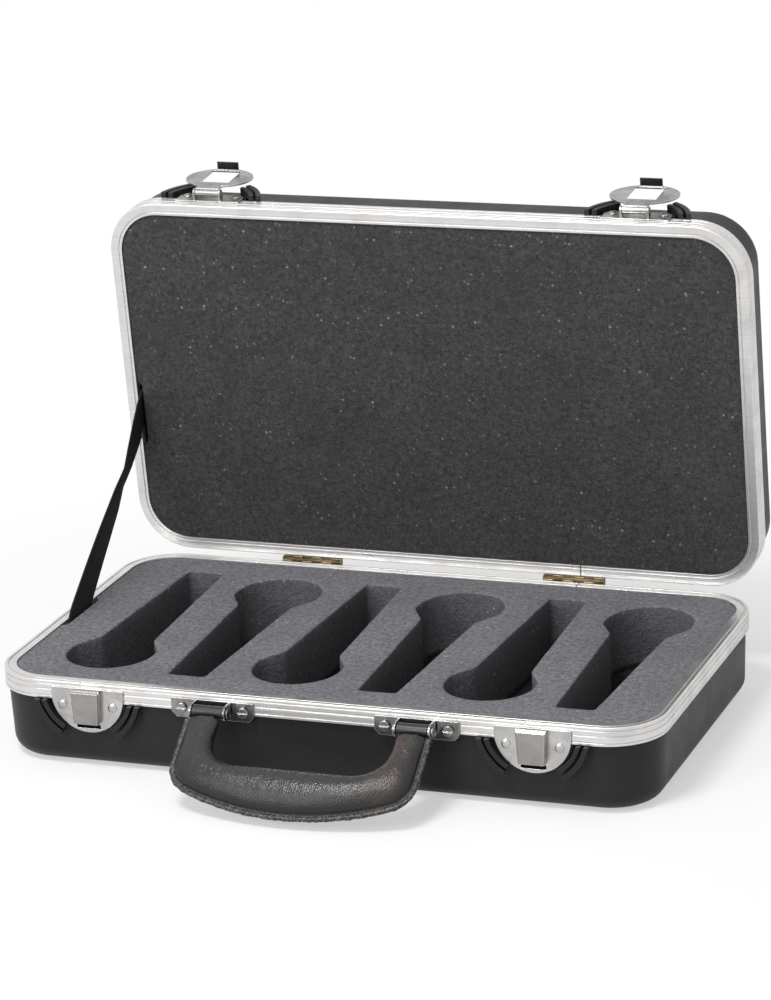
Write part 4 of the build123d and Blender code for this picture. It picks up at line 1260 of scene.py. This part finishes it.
@dataclass(frozen=True)
class WebbingDent:
    """Where the foam gives way to the webbing along the left wall.

    Attributes:
        low: The dent's near end, in y.
        high: The dent's far end, in y.
        depth: How far the foam is pressed in.
        ease: Length over which each end slopes.
        side: How far from the outline's left end a point still is on its left side.
    """

    low: float
    high: float
    depth: float = 3.0
    ease: float = 3.5
    side: float = 0.5

    def press(self, outline: Outline) -> Outline:
        """Return an outline pressed in along its left side.

        Args:
            outline: The plain outline.

        Returns:
            The dented one.
        """
        pressed = []
        left = min(point.x for point in outline.points)
        for point in outline.points:
            inside = min(point.y - self.low, self.high - point.y) / self.ease + 0.5
            share = max(0.0, min(1.0, inside))
            near_left = point.x < left + self.side
            shift = self.depth * share * share * (3 - 2 * share) if near_left else 0.0
            pressed.append(point + Vector((shift, 0.0)))
        return Outline(pressed)


@dataclass(frozen=True)
class FoamSlab:
    """One layer of cut foam: a soft-edged slab with uneven cut walls.

    Attributes:
        name: The piece's name.
        finish: Its finish.
        outer: Its outline.
        cuts: Outlines cut through it.
        show: Height of the face that shows.
        back: Height of the hidden face.
        top_round: Radius of the cuts' showing edges.
        outer_round: Radius of the outline's showing edge.
        back_chamfer: How far the hidden edge slopes in.
        round_turns: Angles of the points that round an edge.
        wave: Unevenness of the cut walls.
        outer_wave: Share of it on the outline's own wall.
        ripples: Sizes of the long and the short ripples of the walls.
        short_ripple: Height of the short ones, as a share.
        crown: Unevenness of the face.
        swells: Sizes of its long and its short swells.
        short_swell: Height of the short ones, as a share.
        cell: The distance between points on the face.
        jitter: How far those are moved about, in cells.
        clearance: How far they stay from an outline, in cells.
        walls: How many rows a wall has.
    """

    name: str
    finish: Finish
    outer: Outline
    cuts: tuple[Outline, ...]
    show: float
    back: float
    top_round: float = 1.1
    outer_round: float = 0.6
    back_chamfer: float = 0.0
    round_turns: tuple[float, ...] = (math.pi / 2, math.pi / 3.2, math.pi / 6, 0.0)
    wave: float = 0.3
    outer_wave: float = 0.3
    ripples: tuple[float, float] = (26.0, 7.0)
    short_ripple: float = 0.35
    crown: float = 0.3
    swells: tuple[float, float] = (40.0, 9.0)
    short_swell: float = 0.25
    cell: float = 5.0
    jitter: float = 0.25
    clearance: float = 0.45
    walls: int = 9

    @property
    def side(self) -> int:
        """Return 1 if the face is above the back, and -1 if it is below."""
        return 1 if self.show > self.back else -1

    def build(self, place: Matrix) -> bpy.types.Object:
        """Return the slab.

        Args:
            place: Where the slab's own coordinates lie in the frame.

        Returns:
            The finished piece.
        """
        maker = bmesh.new()
        rims, backs = [], []
        for outline in (self.outer, *self.cuts):
            columns = self.wall_columns(outline, outline is self.outer)
            rows = [[maker.verts.new(point * MM) for point in row] for row in columns]
            for upper, lower in zip(rows, rows[1:]):
                for k in range(len(upper)):
                    maker.faces.new((upper[k - 1], upper[k], lower[k], lower[k - 1]))
            rims.append(rows[0])
            backs.append(rows[-1])
        self.cap(maker, rims, self.cell)
        self.cap(maker, backs, 0.0)
        piece = new_piece(self.name, maker)
        piece.data.transform(place)
        DRESSER.cover(piece, self.finish)
        return piece

    def wall_columns(self, outline: Outline, is_outer: bool) -> list[list[Vector]]:
        """Return the rows of points from a face's rounded edge down to the hidden face.

        Args:
            outline: The wall's outline.
            is_outer: Whether this is the slab's own outline, with the foam inside it. It stays clear
                of the frame.

        Returns:
            The rows, from the face to the back.
        """
        away = outline.outward()
        radius = self.outer_round if is_outer else self.top_round
        inward = -1 if is_outer else 1
        wave = self.wave * (self.outer_wave if is_outer else 1.0)
        turns = self.round_turns
        profile = [(radius * (1 - math.cos(turn)), radius * (1 - math.sin(turn))) for turn in turns]
        depth = abs(self.show - self.back) - self.back_chamfer
        profile += [(0.0, radius + (depth - radius) * (k + 1) / self.walls) for k in range(self.walls)]
        if self.back_chamfer:
            profile.append((self.back_chamfer if is_outer else 0.0, depth + self.back_chamfer))
        # The short ripples are read elsewhere, so that they differ from the long ones.
        elsewhere = Vector((90, 0, 0))
        rows = []
        for set_in, drop in profile:
            height = self.show - self.side * drop
            row = []
            for point, out in zip(outline.points, away):
                spot = Vector((point.x, point.y, height))
                ripple = swell(spot, self.ripples[0], wave)
                ripple += swell(spot + elsewhere, self.ripples[1], wave * self.short_ripple)
                if is_outer:
                    ripple = max(0.0, -ripple)
                flat = point + out * (inward * (set_in + ripple))
                row.append(Vector((flat.x, flat.y, height)))
            rows.append(row)
        return rows

    def cap(self, maker: bmesh.types.BMesh, rings: list[list[bmesh.types.BMVert]], cell: float) -> None:
        """Close a face of the slab, leaving its cuts open.

        Args:
            maker: The slab's bmesh.
            rings: The outer ring, then the cuts' rings.
            cell: The distance between points inside, or 0 for none.
        """
        verts = [vert for ring in rings for vert in ring]
        flat = [Vector((vert.co.x, vert.co.y)) / MM for vert in verts]
        edges, start = [], 0
        lines = []
        for ring in rings:
            edges += [(start + k, start + (k + 1) % len(ring)) for k in range(len(ring))]
            lines.append(Outline(flat[start : start + len(ring)]))
            start += len(ring)
        height = verts[0].co.z / MM
        inner = self.face_points(lines, cell) if cell else []
        for point in inner:
            # The two swells are read at different heights, so that they differ.
            lift = swell(Vector((point.x, point.y, 7.0)), self.swells[0], self.crown)
            bump = swell(Vector((point.x, point.y, 31.0)), self.swells[1], self.crown * self.short_swell)
            rise = min(0.0, lift + bump) * self.side
            verts.append(maker.verts.new(Vector((point.x, point.y, height + rise)) * MM))
        _, _, faces, origins, _, _ = geometry.delaunay_2d_cdt(flat + inner, edges, [], 1, 1e-6)
        for face in faces:
            corners = [verts[origins[k][0]] for k in face]
            centre = sum((Vector((vert.co.x, vert.co.y)) for vert in corners), Vector((0, 0))) / (3 * MM)
            if not any(line.holds(centre) for line in lines[1:]):
                maker.faces.new(corners)

    def face_points(self, lines: list[Outline], cell: float) -> list[Vector]:
        """Return loose points spread over the face between its outlines.

        Args:
            lines: The slab's outline, then the cuts' outlines.
            cell: The distance between points.

        Returns:
            The points, none of them close to an outline.
        """
        points = lines[0].points
        low = Vector([min(point[axis] for point in points) for axis in (0, 1)])
        high = Vector([max(point[axis] for point in points) for axis in (0, 1)])
        found = []
        for row in range(int((high.y - low.y) / cell) + 1):
            for column in range(int((high.x - low.x) / cell) + 1):
                spot = low + Vector(((column + 0.5 * (row % 2)) * cell, row * cell))
                jitter = noise.noise_vector(Vector((spot.x, spot.y, 3.0)) * 0.37)
                spot += Vector((jitter.x, jitter.y)) * cell * self.jitter
                if not lines[0].holds(spot) or any(line.holds(spot) for line in lines[1:]):
                    continue
                if min(line.distance(spot) for line in lines) > cell * self.clearance:
                    found.append(spot)
        return found


@dataclass(frozen=True)
class FoamInserts:
    """The foam in both halves, in millimetres.

    Attributes:
        half_width: Half the foam's width.
        half_depth: Half the foam's depth.
        corner: Its corner radius.
        step: The distance between points along an outline.
        cut: One microphone's cut.
        pitch: The distance between cuts.
        middle: Middle of the row of cuts.
        count: How many cuts there are.
        bed: The upper layer's face and back heights.
        pad: The lower layer's face and back heights.
        lid: The lid foam's face and back heights, in a shut lid.
        lid_crown: Unevenness of the lid foam's face.
        chamfer: Slope of the hidden edges.
        base_dent: Where the webbing presses the upper layer.
        lid_dent: Where the webbing presses the lid foam.
    """

    half_width: float = 192.4
    half_depth: float = 105.9
    corner: float = 25.4
    step: float = 2.2
    cut: FoamCut = FoamCut()
    pitch: float = 58.3
    middle: tuple[float, float] = (1.6, -1.0)
    count: int = 6
    bed: tuple[float, float] = (51.8, 13.75)
    pad: tuple[float, float] = (13.75, 4.4)
    lid: tuple[float, float] = (54.1, 91.3)
    lid_crown: float = 0.8
    chamfer: float = 5.0
    base_dent: WebbingDent = WebbingDent(-22.6, 24.4)
    lid_dent: WebbingDent = WebbingDent(4.5, 44.2)

    def build(self) -> None:
        """Build the three layers in place of the plain ones."""
        signs = ((1, 1), (-1, 1), (-1, -1), (1, -1))
        corners = [(x * self.half_width, y * self.half_depth) for x, y in signs]
        outer = Outline.rounded(corners, [self.corner] * 4, self.step, True)
        cuts = tuple(self.cut_at(index) for index in range(self.count))
        dented = self.base_dent.press(outer)
        bed = FoamSlab("foam_bed", BASE_FOAM, dented, cuts, *self.bed)
        plain = {"back_chamfer": self.chamfer, "crown": 0.0, "walls": 2}
        pad = FoamSlab("foam_bed_pad", PAD_FOAM, outer, (), *self.pad, **plain)
        dented = self.lid_dent.press(outer)
        soft = {"back_chamfer": self.chamfer, "crown": self.lid_crown}
        lid = FoamSlab("foam_lid", LID_FOAM, dented, (), *self.lid, **soft)
        still = Matrix.Identity(4)
        for slab, place, body, node in (
            (bed, still, "base", "base_foam"),
            (pad, still, "base", "base_foam_pad"),
            (lid, LID.matrix(), "lid", "lid_foam"),
        ):
            piece = slab.build(place)
            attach(piece, body)
            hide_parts(node)
        LOG.info("foam: bed with %d cuts, pad and lid layer", self.count)

    def cut_at(self, index: int) -> Outline:
        """Return one of the cuts, heads in front and behind by turns."""
        x = self.middle[0] + (index - (self.count - 1) / 2) * self.pitch
        head = HeadEnd.FRONT if index % 2 == 0 else HeadEnd.BACK
        return self.cut.outline(Vector((x, self.middle[1])), head, self.step)


# ---------------------------------------------------------------------------------------------------
# Stay webbing
# ---------------------------------------------------------------------------------------------------


@dataclass(frozen=True)
class StayWebbing:
    """The flat webbing that holds the open lid, in millimetres.

    Attributes:
        width: The webbing's width.
        thickness: Its thickness.
        wall_x: Middle of the webbing along the left wall.
        base_anchor: Its lowest point behind the base foam, in y and z.
        base_bend: Corner of its lower bend.
        lid_bend: Corner of its upper bend.
        lid_anchor: Its far end behind the lid foam.
        bend_radius: Radius of both bends.
        step: The distance between rows of points.
        twist: How far it is turned edge on, in degrees, by share of the free run.
        bow: How far the free run stands inward at its waist.
        waist: Share of the free run at which it is narrowest.
        profile_shares: Places across the section, and the thickness there, each as a share of half.
        back_shift: How far the weave is moved along on the back, in widths.
        uv_layer: Name of its coordinates along and across, in metres.
    """

    width: float = 25.0
    thickness: float = 1.0
    wall_x: float = -191.8
    base_anchor: tuple[float, float] = (-6.6, 30.5)
    base_bend: tuple[float, float] = (-6.6, 45.5)
    lid_bend: tuple[float, float] = (114.25, 148.2)
    lid_anchor: tuple[float, float] = (129.2, 149.5)
    bend_radius: float = 16.0
    step: float = 1.6
    twist: tuple[tuple[float, float], ...] = (
        (0.0, 0.0),
        (0.2, -4.5),
        (0.4, -9.5),
        (0.56, -14.5),
        (0.66, -21.5),
        (0.75, -15.0),
        (0.86, -10.0),
        (1.0, -6.0),
    )
    bow: float = 1.4
    waist: float = 0.66
    profile_shares: tuple[tuple[float, float], ...] = (
        (-1.0, 0.35),
        (-0.985, 0.85),
        (-0.94, 1.0),
        (-0.7, 0.9),
        (-0.35, 0.85),
        (0.0, 0.82),
        (0.35, 0.85),
        (0.7, 0.9),
        (0.94, 1.0),
        (0.985, 0.85),
        (1.0, 0.35),
    )
    back_shift: float = 1.2
    uv_layer: str = "ribbon"

    def build(self) -> None:
        """Build the webbing in place of the plain one."""
        corners = (self.base_anchor, self.base_bend, self.lid_bend, self.lid_anchor)
        line = Outline.rounded(corners, [self.bend_radius] * 4, self.step, False).points
        maker = bmesh.new()
        ribbon = maker.loops.layers.uv.new(self.uv_layer)
        rows = [self.section(line, index) for index in range(len(line))]
        made = [[maker.verts.new(point * MM) for point in row] for row in rows]
        around = self.around()
        for index, (one, two) in enumerate(zip(made, made[1:])):
            near, far = index * self.step, (index + 1) * self.step
            for k in range(len(one)):
                following = (k + 1) % len(one)
                face = maker.faces.new((one[k], one[following], two[following], two[k]))
                first = around[k]
                last = around[following] if following else first + self.step
                places = ((near, first), (near, last), (far, last), (far, first))
                for loop, (u, v) in zip(face.loops, places):
                    loop[ribbon].uv = (u * MM, v * MM)
        maker.faces.new(made[0])
        maker.faces.new(list(reversed(made[-1])))
        piece = new_piece("stay_webbing", maker)
        DRESSER.cover(piece, WEBBING)
        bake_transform(piece)
        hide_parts("stay_strap")
        LOG.info("stay webbing of %d rows", len(made))

    def around(self) -> list[float]:
        """Return the distance across the webbing of each point of its section."""
        flat = [point[0] for point in self.profile()]
        front = len(self.profile_shares)
        return flat[:front] + [place + self.width * self.back_shift for place in flat[front:]]

    def profile(self) -> list[tuple[float, float]]:
        """Return the section's points: across the webbing, and through it."""
        half, thin = self.width / 2, self.thickness / 2
        upper = [(x * half, y * thin) for x, y in self.profile_shares]
        return upper + [(x, -y) for x, y in reversed(upper)]

    def section(self, line: Sequence[Vector], index: int) -> list[Vector]:
        """Return one row of the webbing's points.

        Args:
            line: The middle line in the wall's plane.
            index: Which of its points.

        Returns:
            The row's points in the frame.
        """
        before, after = line[max(0, index - 1)], line[min(len(line) - 1, index + 1)]
        along = Vector((0.0, after.x - before.x, after.y - before.y)).normalized()
        through = Vector((1.0, 0.0, 0.0))
        across = along.cross(through).normalized()
        free = Vector(self.lid_bend) - Vector(self.base_bend)
        share = (line[index] - Vector(self.base_bend)).dot(free) / free.length_squared
        share = max(0.0, min(1.0, share))
        turn = math.radians(self.turn_at(share))
        dip = math.sin(math.pi * share ** (math.log(0.5) / math.log(self.waist))) ** 2
        centre = Vector((self.wall_x + self.bow * dip, line[index].x, line[index].y))
        wide = across * math.cos(turn) + through * math.sin(turn)
        thick = through * math.cos(turn) - across * math.sin(turn)
        return [centre + wide * x + thick * y for x, y in self.profile()]

    def turn_at(self, share: float) -> float:
        """Return the webbing's twist at a place.

        Args:
            share: The place, as a share of the free run.

        Returns:
            The twist in degrees.
        """
        for (low, first), (high, second) in zip(self.twist, self.twist[1:]):
            if share <= high:
                part = (share - low) / (high - low)
                return first + (second - first) * part
        return self.twist[-1][1]


# ---------------------------------------------------------------------------------------------------
# Carrying handle
# ---------------------------------------------------------------------------------------------------


@dataclass(frozen=True)
class CarryHandle:
    """The moulded handle, in millimetres from the pivot line, y up along its arms.

    Attributes:
        pivot: Middle of the pivot line in the frame.
        lean: How far the handle leans out, in degrees.
        inner_half_width: Half the finger opening's width.
        inner_bottom: The opening's depth.
        inner_radius: Radius of the opening's corners.
        outer_half_width: Half the handle's width.
        bottom_curve: Radius of the outer line's bottom curve.
        curve_parts: Parts of that curve.
        outer_radius: Size of its outer corners.
        corner_start: Where the curve gives way to a corner, as a share of that size.
        corner_round: Radius of the corner, as a share of that size.
        corner_step: The distance between the corner's points.
        hub_parts: Sections round each corner of the opening.
        start: From the pivot to the arms' ends.
        bottom: From the pivot to the lowest point.
        arm_thickness: Half thickness at the arms' ends.
        bar_thickness: Half thickness at the bottom.
        thickening: How soon the handle is full thick, from its arms down.
        body_parts: Parts of a section's half, without the welt.
        squareness: How square a section is: 1 is an ellipse, and less is squarer.
        inner_fullness: How much thicker its inner side is than its middle, as a share.
        welt_thickness: Half the thickness of the seam's welt.
        welt_points: The crease's and the welt's points: how far out, and half the thickness there,
            as a share of the welt's.
        body_end: How far in from the crease the body stops.
        welt_start: How far out the welt's own ruffles start.
        welt_set_in: How far in they move the welt.
        welt_ruffle: Size and height of the welt's ruffles.
        body_ruffle: Size and height of the body's.
        cap_rings: The end caps' rings: their size as a share, and how far out they lie.
        step: The distance between sections.
        uv_layer: Name of its coordinates: metres along it, and turns round it.
    """

    pivot: tuple[float, float, float] = (3.1, -119.2, 44.0)
    lean: float = 54.325
    inner_half_width: float = 53.3
    inner_bottom: float = 35.0
    inner_radius: float = 19.0
    outer_half_width: float = 71.0
    bottom_curve: float = 160.1
    curve_parts: int = 60
    outer_radius: float = 20.0
    corner_start: float = 0.62
    corner_round: float = 0.86
    corner_step: float = 0.7
    hub_parts: int = 34
    start: float = 5.6
    bottom: float = 62.6
    arm_thickness: float = 4.6
    bar_thickness: float = 11.5
    thickening: float = 1.12
    body_parts: int = 22
    squareness: float = 0.8
    inner_fullness: float = 0.12
    welt_thickness: float = 1.35
    welt_points: tuple[tuple[float, float], ...] = (
        (-0.6, 1.05),
        (0.2, 0.8),
        (0.9, 0.98),
        (2.325, 1.0),
        (2.95, 0.62),
        (3.1, 0.0),
    )
    body_end: float = 0.8
    welt_start: float = 0.5
    welt_set_in: float = 0.2
    welt_ruffle: tuple[float, float] = (2.6, 0.55)
    body_ruffle: tuple[float, float] = (5.0, 0.22)
    cap_rings: tuple[tuple[float, float], ...] = ((0.93, 0.35), (0.82, 0.5))
    step: float = 1.1
    uv_layer: str = "grip"

    def build(self) -> None:
        """Build the grip in place of the plain one."""
        maker = bmesh.new()
        grip = maker.loops.layers.uv.new(self.uv_layer)
        rows = [self.section(inner, outer) for inner, outer in self.stations()]
        made = [[maker.verts.new(self.place(point) * MM) for point in row] for row in rows]
        for index, (one, two) in enumerate(zip(made, made[1:])):
            near, far = index * self.step * MM, (index + 1) * self.step * MM
            for k in range(len(one)):
                following = (k + 1) % len(one)
                face = maker.faces.new((one[k], two[k], two[following], one[following]))
                first, last = k / len(one), (k + 1) / len(one)
                places = ((near, first), (far, first), (far, last), (near, last))
                for loop, place in zip(face.loops, places):
                    loop[grip].uv = place
        self.close(maker, made[0], made[1])
        self.close(maker, list(reversed(made[-1])), list(reversed(made[-2])))
        piece = new_piece("handle_moulding", maker)
        DRESSER.cover(piece, GRIP)
        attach(piece, "handle")
        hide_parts("handle_grip")
        LOG.info("handle grip of %d sections", len(made))

    def close(self, maker: bmesh.types.BMesh, ring: list, following: list) -> None:
        """Close an arm's end with a slightly rounded cap.

        Args:
            maker: The handle's bmesh.
            ring: The vertices of the arm's end.
            following: Those of the section next to it.
        """
        centre = sum((vert.co for vert in ring), Vector()) / len(ring)
        away = (centre - sum((vert.co for vert in following), Vector()) / len(following)).normalized()
        last = ring
        for shrink, lift in self.cap_rings:
            loop = [maker.verts.new(centre + (vert.co - centre) * shrink + away * lift * MM) for vert in ring]
            for k in range(len(ring)):
                maker.faces.new((last[k - 1], last[k], loop[k], loop[k - 1]))
            last = loop
        maker.faces.new(last)

    def place(self, point: Vector) -> Vector:
        """Return a point of the handle's own plane in the frame, in millimetres."""
        lean = math.radians(self.lean)
        up = Vector((0.0, math.sin(lean), math.cos(lean)))
        out = Vector((0.0, -math.cos(lean), math.sin(lean)))
        return Vector(self.pivot) + Vector((point.x, 0, 0)) + up * point.y + out * point.z

    def outer_line(self) -> list[Vector]:
        """Draw the handle's outer line, from the left arm's end to the right one's.

        Returns:
            The line's points.
        """
        bend = math.asin(self.outer_half_width / self.bottom_curve)
        base = []
        for part in range(self.curve_parts + 1):
            turn = -bend + 2 * bend * part / self.curve_parts
            rise = self.bottom_curve * (1 - math.cos(turn))
            base.append(Vector((self.bottom_curve * math.sin(turn), -self.bottom + rise)))
        shoulder = -self.bottom + self.bottom_curve * (1 - math.cos(bend))
        straight = self.outer_half_width - self.outer_radius * self.corner_start
        kept = [point for point in base if abs(point.x) < straight]
        ends = [(-self.outer_half_width, 0.0), (-self.outer_half_width, shoulder), tuple(kept[0])]
        radii = [self.outer_radius * self.corner_round] * len(ends)
        left = Outline.rounded(ends, radii, self.corner_step, False).points
        right = [Vector((-point.x, point.y)) for point in reversed(left)]
        return left + kept[1:-1] + right

    def stations(self) -> list[tuple[Vector, Vector]]:
        """Return matched points along the handle.

        Returns:
            The points on the finger opening, each with its own on the outer line.
        """
        line = self.outer_line()
        hub = Vector((self.inner_half_width - self.inner_radius, -self.inner_bottom + self.inner_radius))
        found: list[tuple[Vector, Vector]] = []
        arm = -hub.y - self.start
        for part in range(round(arm / self.step)):
            y = -self.start - arm * part / round(arm / self.step)
            found.append((Vector((-self.inner_half_width, y)), Vector((-self.outer_half_width, y))))
        for part in range(self.hub_parts + 1):
            turn = math.pi + math.pi / 2 * part / self.hub_parts
            ray = Vector((math.cos(turn), math.sin(turn)))
            centre = Vector((-hub.x, hub.y))
            found.append((centre + ray * self.inner_radius, self.meet(line, centre, ray)))
        half = round(hub.x / self.step)
        for part in range(1, half + 1):
            x = -hub.x + hub.x * part / half
            down = Vector((0.0, -1.0))
            found.append((Vector((x, -self.inner_bottom)), self.meet(line, Vector((x, 0.0)), down)))
        mirrored = [(Vector((-a.x, a.y)), Vector((-b.x, b.y))) for a, b in reversed(found[:-1])]
        return found + mirrored

    @staticmethod
    def meet(line: Sequence[Vector], origin: Vector, ray: Vector) -> Vector:
        """Return where a ray meets a line.

        Args:
            line: The line's points.
            origin: Where the ray starts.
            ray: Its direction.

        Returns:
            The first crossing.

        Raises:
            ValueError: If it misses the line.
        """
        for a, b in zip(line, line[1:]):
            run = b - a
            cross = ray.x * run.y - ray.y * run.x
            if abs(cross) < 1e-9:
                continue
            gap = a - origin
            far = (gap.x * run.y - gap.y * run.x) / cross
            part = (gap.x * ray.y - gap.y * ray.x) / cross
            if far > 0 and -1e-6 <= part <= 1 + 1e-6:
                return origin + ray * far
        raise ValueError("the ray misses the handle's outer line")

    def section(self, inner: Vector, outer: Vector) -> list[Vector]:
        """Return one section: a rounded body, then the crease and the welt on its outer side.

        Args:
            inner: The section's point on the finger opening.
            outer: Its point on the outer line.

        Returns:
            The section's points, in the handle's own coordinates.
        """
        across = (outer - inner).normalized()
        width = (outer - inner).length
        share = min(1.0, max(0.0, (-(inner.y + outer.y) / 2 - self.start) / (self.bottom - self.start)))
        share = min(1.0, share * self.thickening)
        thick = self.arm_thickness + (self.bar_thickness - self.arm_thickness) * share
        upper = []
        for k in range(self.body_parts - 1):
            turn = math.pi * (1 - k / self.body_parts)
            x = (1 + math.cos(turn)) / 2 * width
            fullness = 1.0 - self.inner_fullness * math.cos(turn)
            height = thick * abs(math.sin(turn)) ** self.squareness * fullness
            upper.append((min(x, width - self.body_end), height))
        upper += [(width + out, self.welt_thickness * part) for out, part in self.welt_points]
        ring = upper + [(x, -y) for x, y in reversed(upper[1:-1])]
        rough = Vector((inner.x, inner.y, 0.0))
        made = []
        for x, y in ring:
            flat = inner + across * x
            spot = Vector((flat.x, flat.y, y))
            if x > width + self.welt_start:
                ruffle = swell(spot + rough, *self.welt_ruffle)
                flat = inner + across * (x + (ruffle - self.welt_set_in))
            elif abs(y) > thick / 2:
                y += swell(spot, *self.body_ruffle)
            made.append(Vector((flat.x, flat.y, y)))
        return made


# ---------------------------------------------------------------------------------------------------
# Studio
# ---------------------------------------------------------------------------------------------------


@dataclass(frozen=True)
class SoftLamp:
    """A rectangular studio lamp.

    Attributes:
        name: The lamp's name.
        place: Its centre in metres.
        aim: The point that it faces.
        size: Its width and height in metres.
        power: Its power in watts.
    """

    name: str
    place: tuple[float, float, float]
    aim: tuple[float, float, float]
    size: tuple[float, float]
    power: float

    def build(self) -> None:
        """Add the lamp to the scene."""
        light = bpy.data.lights.new(self.name, "AREA")
        light.shape = "RECTANGLE"
        light.size, light.size_y = self.size
        light.energy = self.power
        lamp = bpy.data.objects.new(self.name, light)
        lamp.location = self.place
        lamp.rotation_mode = "QUATERNION"
        lamp.rotation_quaternion = (Vector(self.aim) - Vector(self.place)).to_track_quat("-Z", "Y")
        bpy.context.scene.collection.objects.link(lamp)


@dataclass(frozen=True)
class Studio:
    """White studio: floor, world, lamps and camera.

    Attributes:
        camera_place: The camera in metres.
        azimuth: Its direction round the case, in degrees.
        elevation: Its height above the horizon, in degrees.
        roll: Its tilt about its own axis, in degrees.
        lens: Its focal length in millimetres.
        sensor: Its sensor's long side in millimetres.
        floor: The floor's finish.
        floor_specular: The shader's specular level there.
        floor_reach: Half the floor's side in metres.
        world_level: Strength of the world's light on the case.
        shadow_start: How far from the middle the floor starts to fade to plain white, in metres.
        shadow_end: Where it is plain white.
        shadow_fade: Share of plain white in the floor next to the case.
        lamps: The studio's lamps.
    """

    camera_place: tuple[float, float, float] = (0.80785, -2.06004, 0.85327)
    azimuth: float = 21.206
    elevation: float = 17.989
    roll: float = -2.933
    lens: float = 145.16
    sensor: float = 36.0
    floor: Finish = Finish("white floor", grey(0.9), 0.9)
    floor_specular: float = 0.1
    floor_reach: float = 6.0
    world_level: float = 0.44
    shadow_start: float = 0.2
    shadow_end: float = 0.5
    shadow_fade: float = 0.5
    lamps: tuple[SoftLamp, ...] = (
        SoftLamp("overhead lamp", (-0.15, -0.75, 1.5), (0.0, -0.05, 0.05), (0.5, 0.4), 17.0),
        SoftLamp("front lamp", (-0.9, -2.0, 1.1), (0.0, 0.0, 0.12), (0.9, 0.9), 17.0),
    )

    def build(self) -> None:
        """Build the floor, world, lamps and camera."""
        bpy.context.scene.view_settings.view_transform = "Standard"
        self.build_floor()
        self.build_world()
        for lamp in self.lamps:
            lamp.build()
        self.build_camera()
        LOG.info("studio with %d lamps", len(self.lamps))

    def build_camera(self) -> None:
        """Add the camera."""
        data = bpy.data.cameras.new("camera")
        data.lens = self.lens
        data.sensor_width = self.sensor
        data.sensor_fit = "AUTO"
        camera = bpy.data.objects.new("camera", data)
        camera.location = self.camera_place
        turn, rise = math.radians(self.azimuth), math.radians(self.elevation)
        back = Vector((math.sin(turn) * math.cos(rise), -math.cos(turn) * math.cos(rise), math.sin(rise)))
        camera.rotation_mode = "QUATERNION"
        level = (-back).to_track_quat("-Z", "Y")
        camera.rotation_quaternion = level @ Quaternion((0, 0, 1), math.radians(self.roll))
        bpy.context.scene.collection.objects.link(camera)
        bpy.context.scene.camera = camera

    def build_floor(self) -> None:
        """Add the pale floor, which shows white to the camera away from the case's shadow."""
        maker = bmesh.new()
        bmesh.ops.create_grid(maker, x_segments=1, y_segments=1, size=self.floor_reach)
        floor = new_piece("studio_floor", maker, smooth=False)
        tree, shader = self.floor.start()
        tree.feed(shader, Specular_IOR_Level=self.floor_specular)
        reach = tree.feed(tree.add("ShaderNodeVectorMath", operation="LENGTH"), i0=tree.place())
        fade = (self.shadow_start, self.shadow_end, self.shadow_fade, 1.0)
        shown = tree.product(tree.span(reach.outputs["Value"], *fade), tree.seen_white())
        white = tree.feed(tree.add("ShaderNodeEmission"), Color=grey(1.0)).outputs["Emission"]
        mixed = tree.feed(tree.add("ShaderNodeMixShader"), Fac=shown, i1=shader.outputs["BSDF"], i2=white)
        tree.feed(tree.tree.nodes["Material Output"], Surface=mixed.outputs["Shader"])
        floor.data.materials.append(bpy.data.materials[self.floor.name])

    def build_world(self) -> None:
        """Light the world evenly and show it white to the camera and in reflections."""
        world = bpy.data.worlds.new("white world")
        bpy.context.scene.world = world
        world.use_nodes = True
        tree = Tree(world.node_tree)
        strength = tree.span(tree.seen_white(), 0.0, 1.0, self.world_level, 1.0)
        tree.feed(world.node_tree.nodes["Background"], Color=grey(1.0), Strength=strength)


def dress_fittings() -> None:
    """Give the shells, frames and metal fittings their finishes."""
    DRESSER.dress(SHELL_PLASTIC, "base_shell", "lid_shell")
    DRESSER.dress(FRAME_ALUMINIUM, "base_valance", "lid_valance")
    DRESSER.dress(PLATE_NICKEL, *both("latch_plate"), "latch_rivets", *both("latch_pin"))
    DRESSER.dress(LEVER_NICKEL, *both("latch_lever"))
    DRESSER.dress(HASP_NICKEL, *both("hasp_plate"), *both("hasp_bracket"), *both("hasp_pin"), "hasp_rivets")
    DRESSER.dress(HANDLE_NICKEL, *both("handle_bracket"), *both("handle_pin"))
    DRESSER.dress(BRIGHT_ZINC, "handle_screws", "handle_nuts")
    DRESSER.dress(HINGE_BRASS, *both("hinge_leaf_base"), *both("hinge_leaf_lid"), *both("hinge_pin"))
    DRESSER.dress(HINGE_BRASS, "hinge_rivets_base", "hinge_rivets_lid")
    DRESSER.dress(DARK_STEEL, "strap_rivet_base", "strap_rivet_lid", *both("latch_spring"))
    DRESSER.dress(BLACK_PAINT, "handle_core")
    DRESSER.dress(FOOT_RUBBER, "base_feet")


def main() -> None:
    """Build the studio, then dress the case."""
    # Without a seed of its own, noise_vector changes from run to run.
    noise.seed_set(NOISE_SEED)
    Studio().build()
    dress_fittings()
    FoamInserts().build()
    StayWebbing().build()
    CarryHandle().build()


if __name__ == "__main__":
    logging.basicConfig(level=logging.INFO, format="%(message)s")
    main()
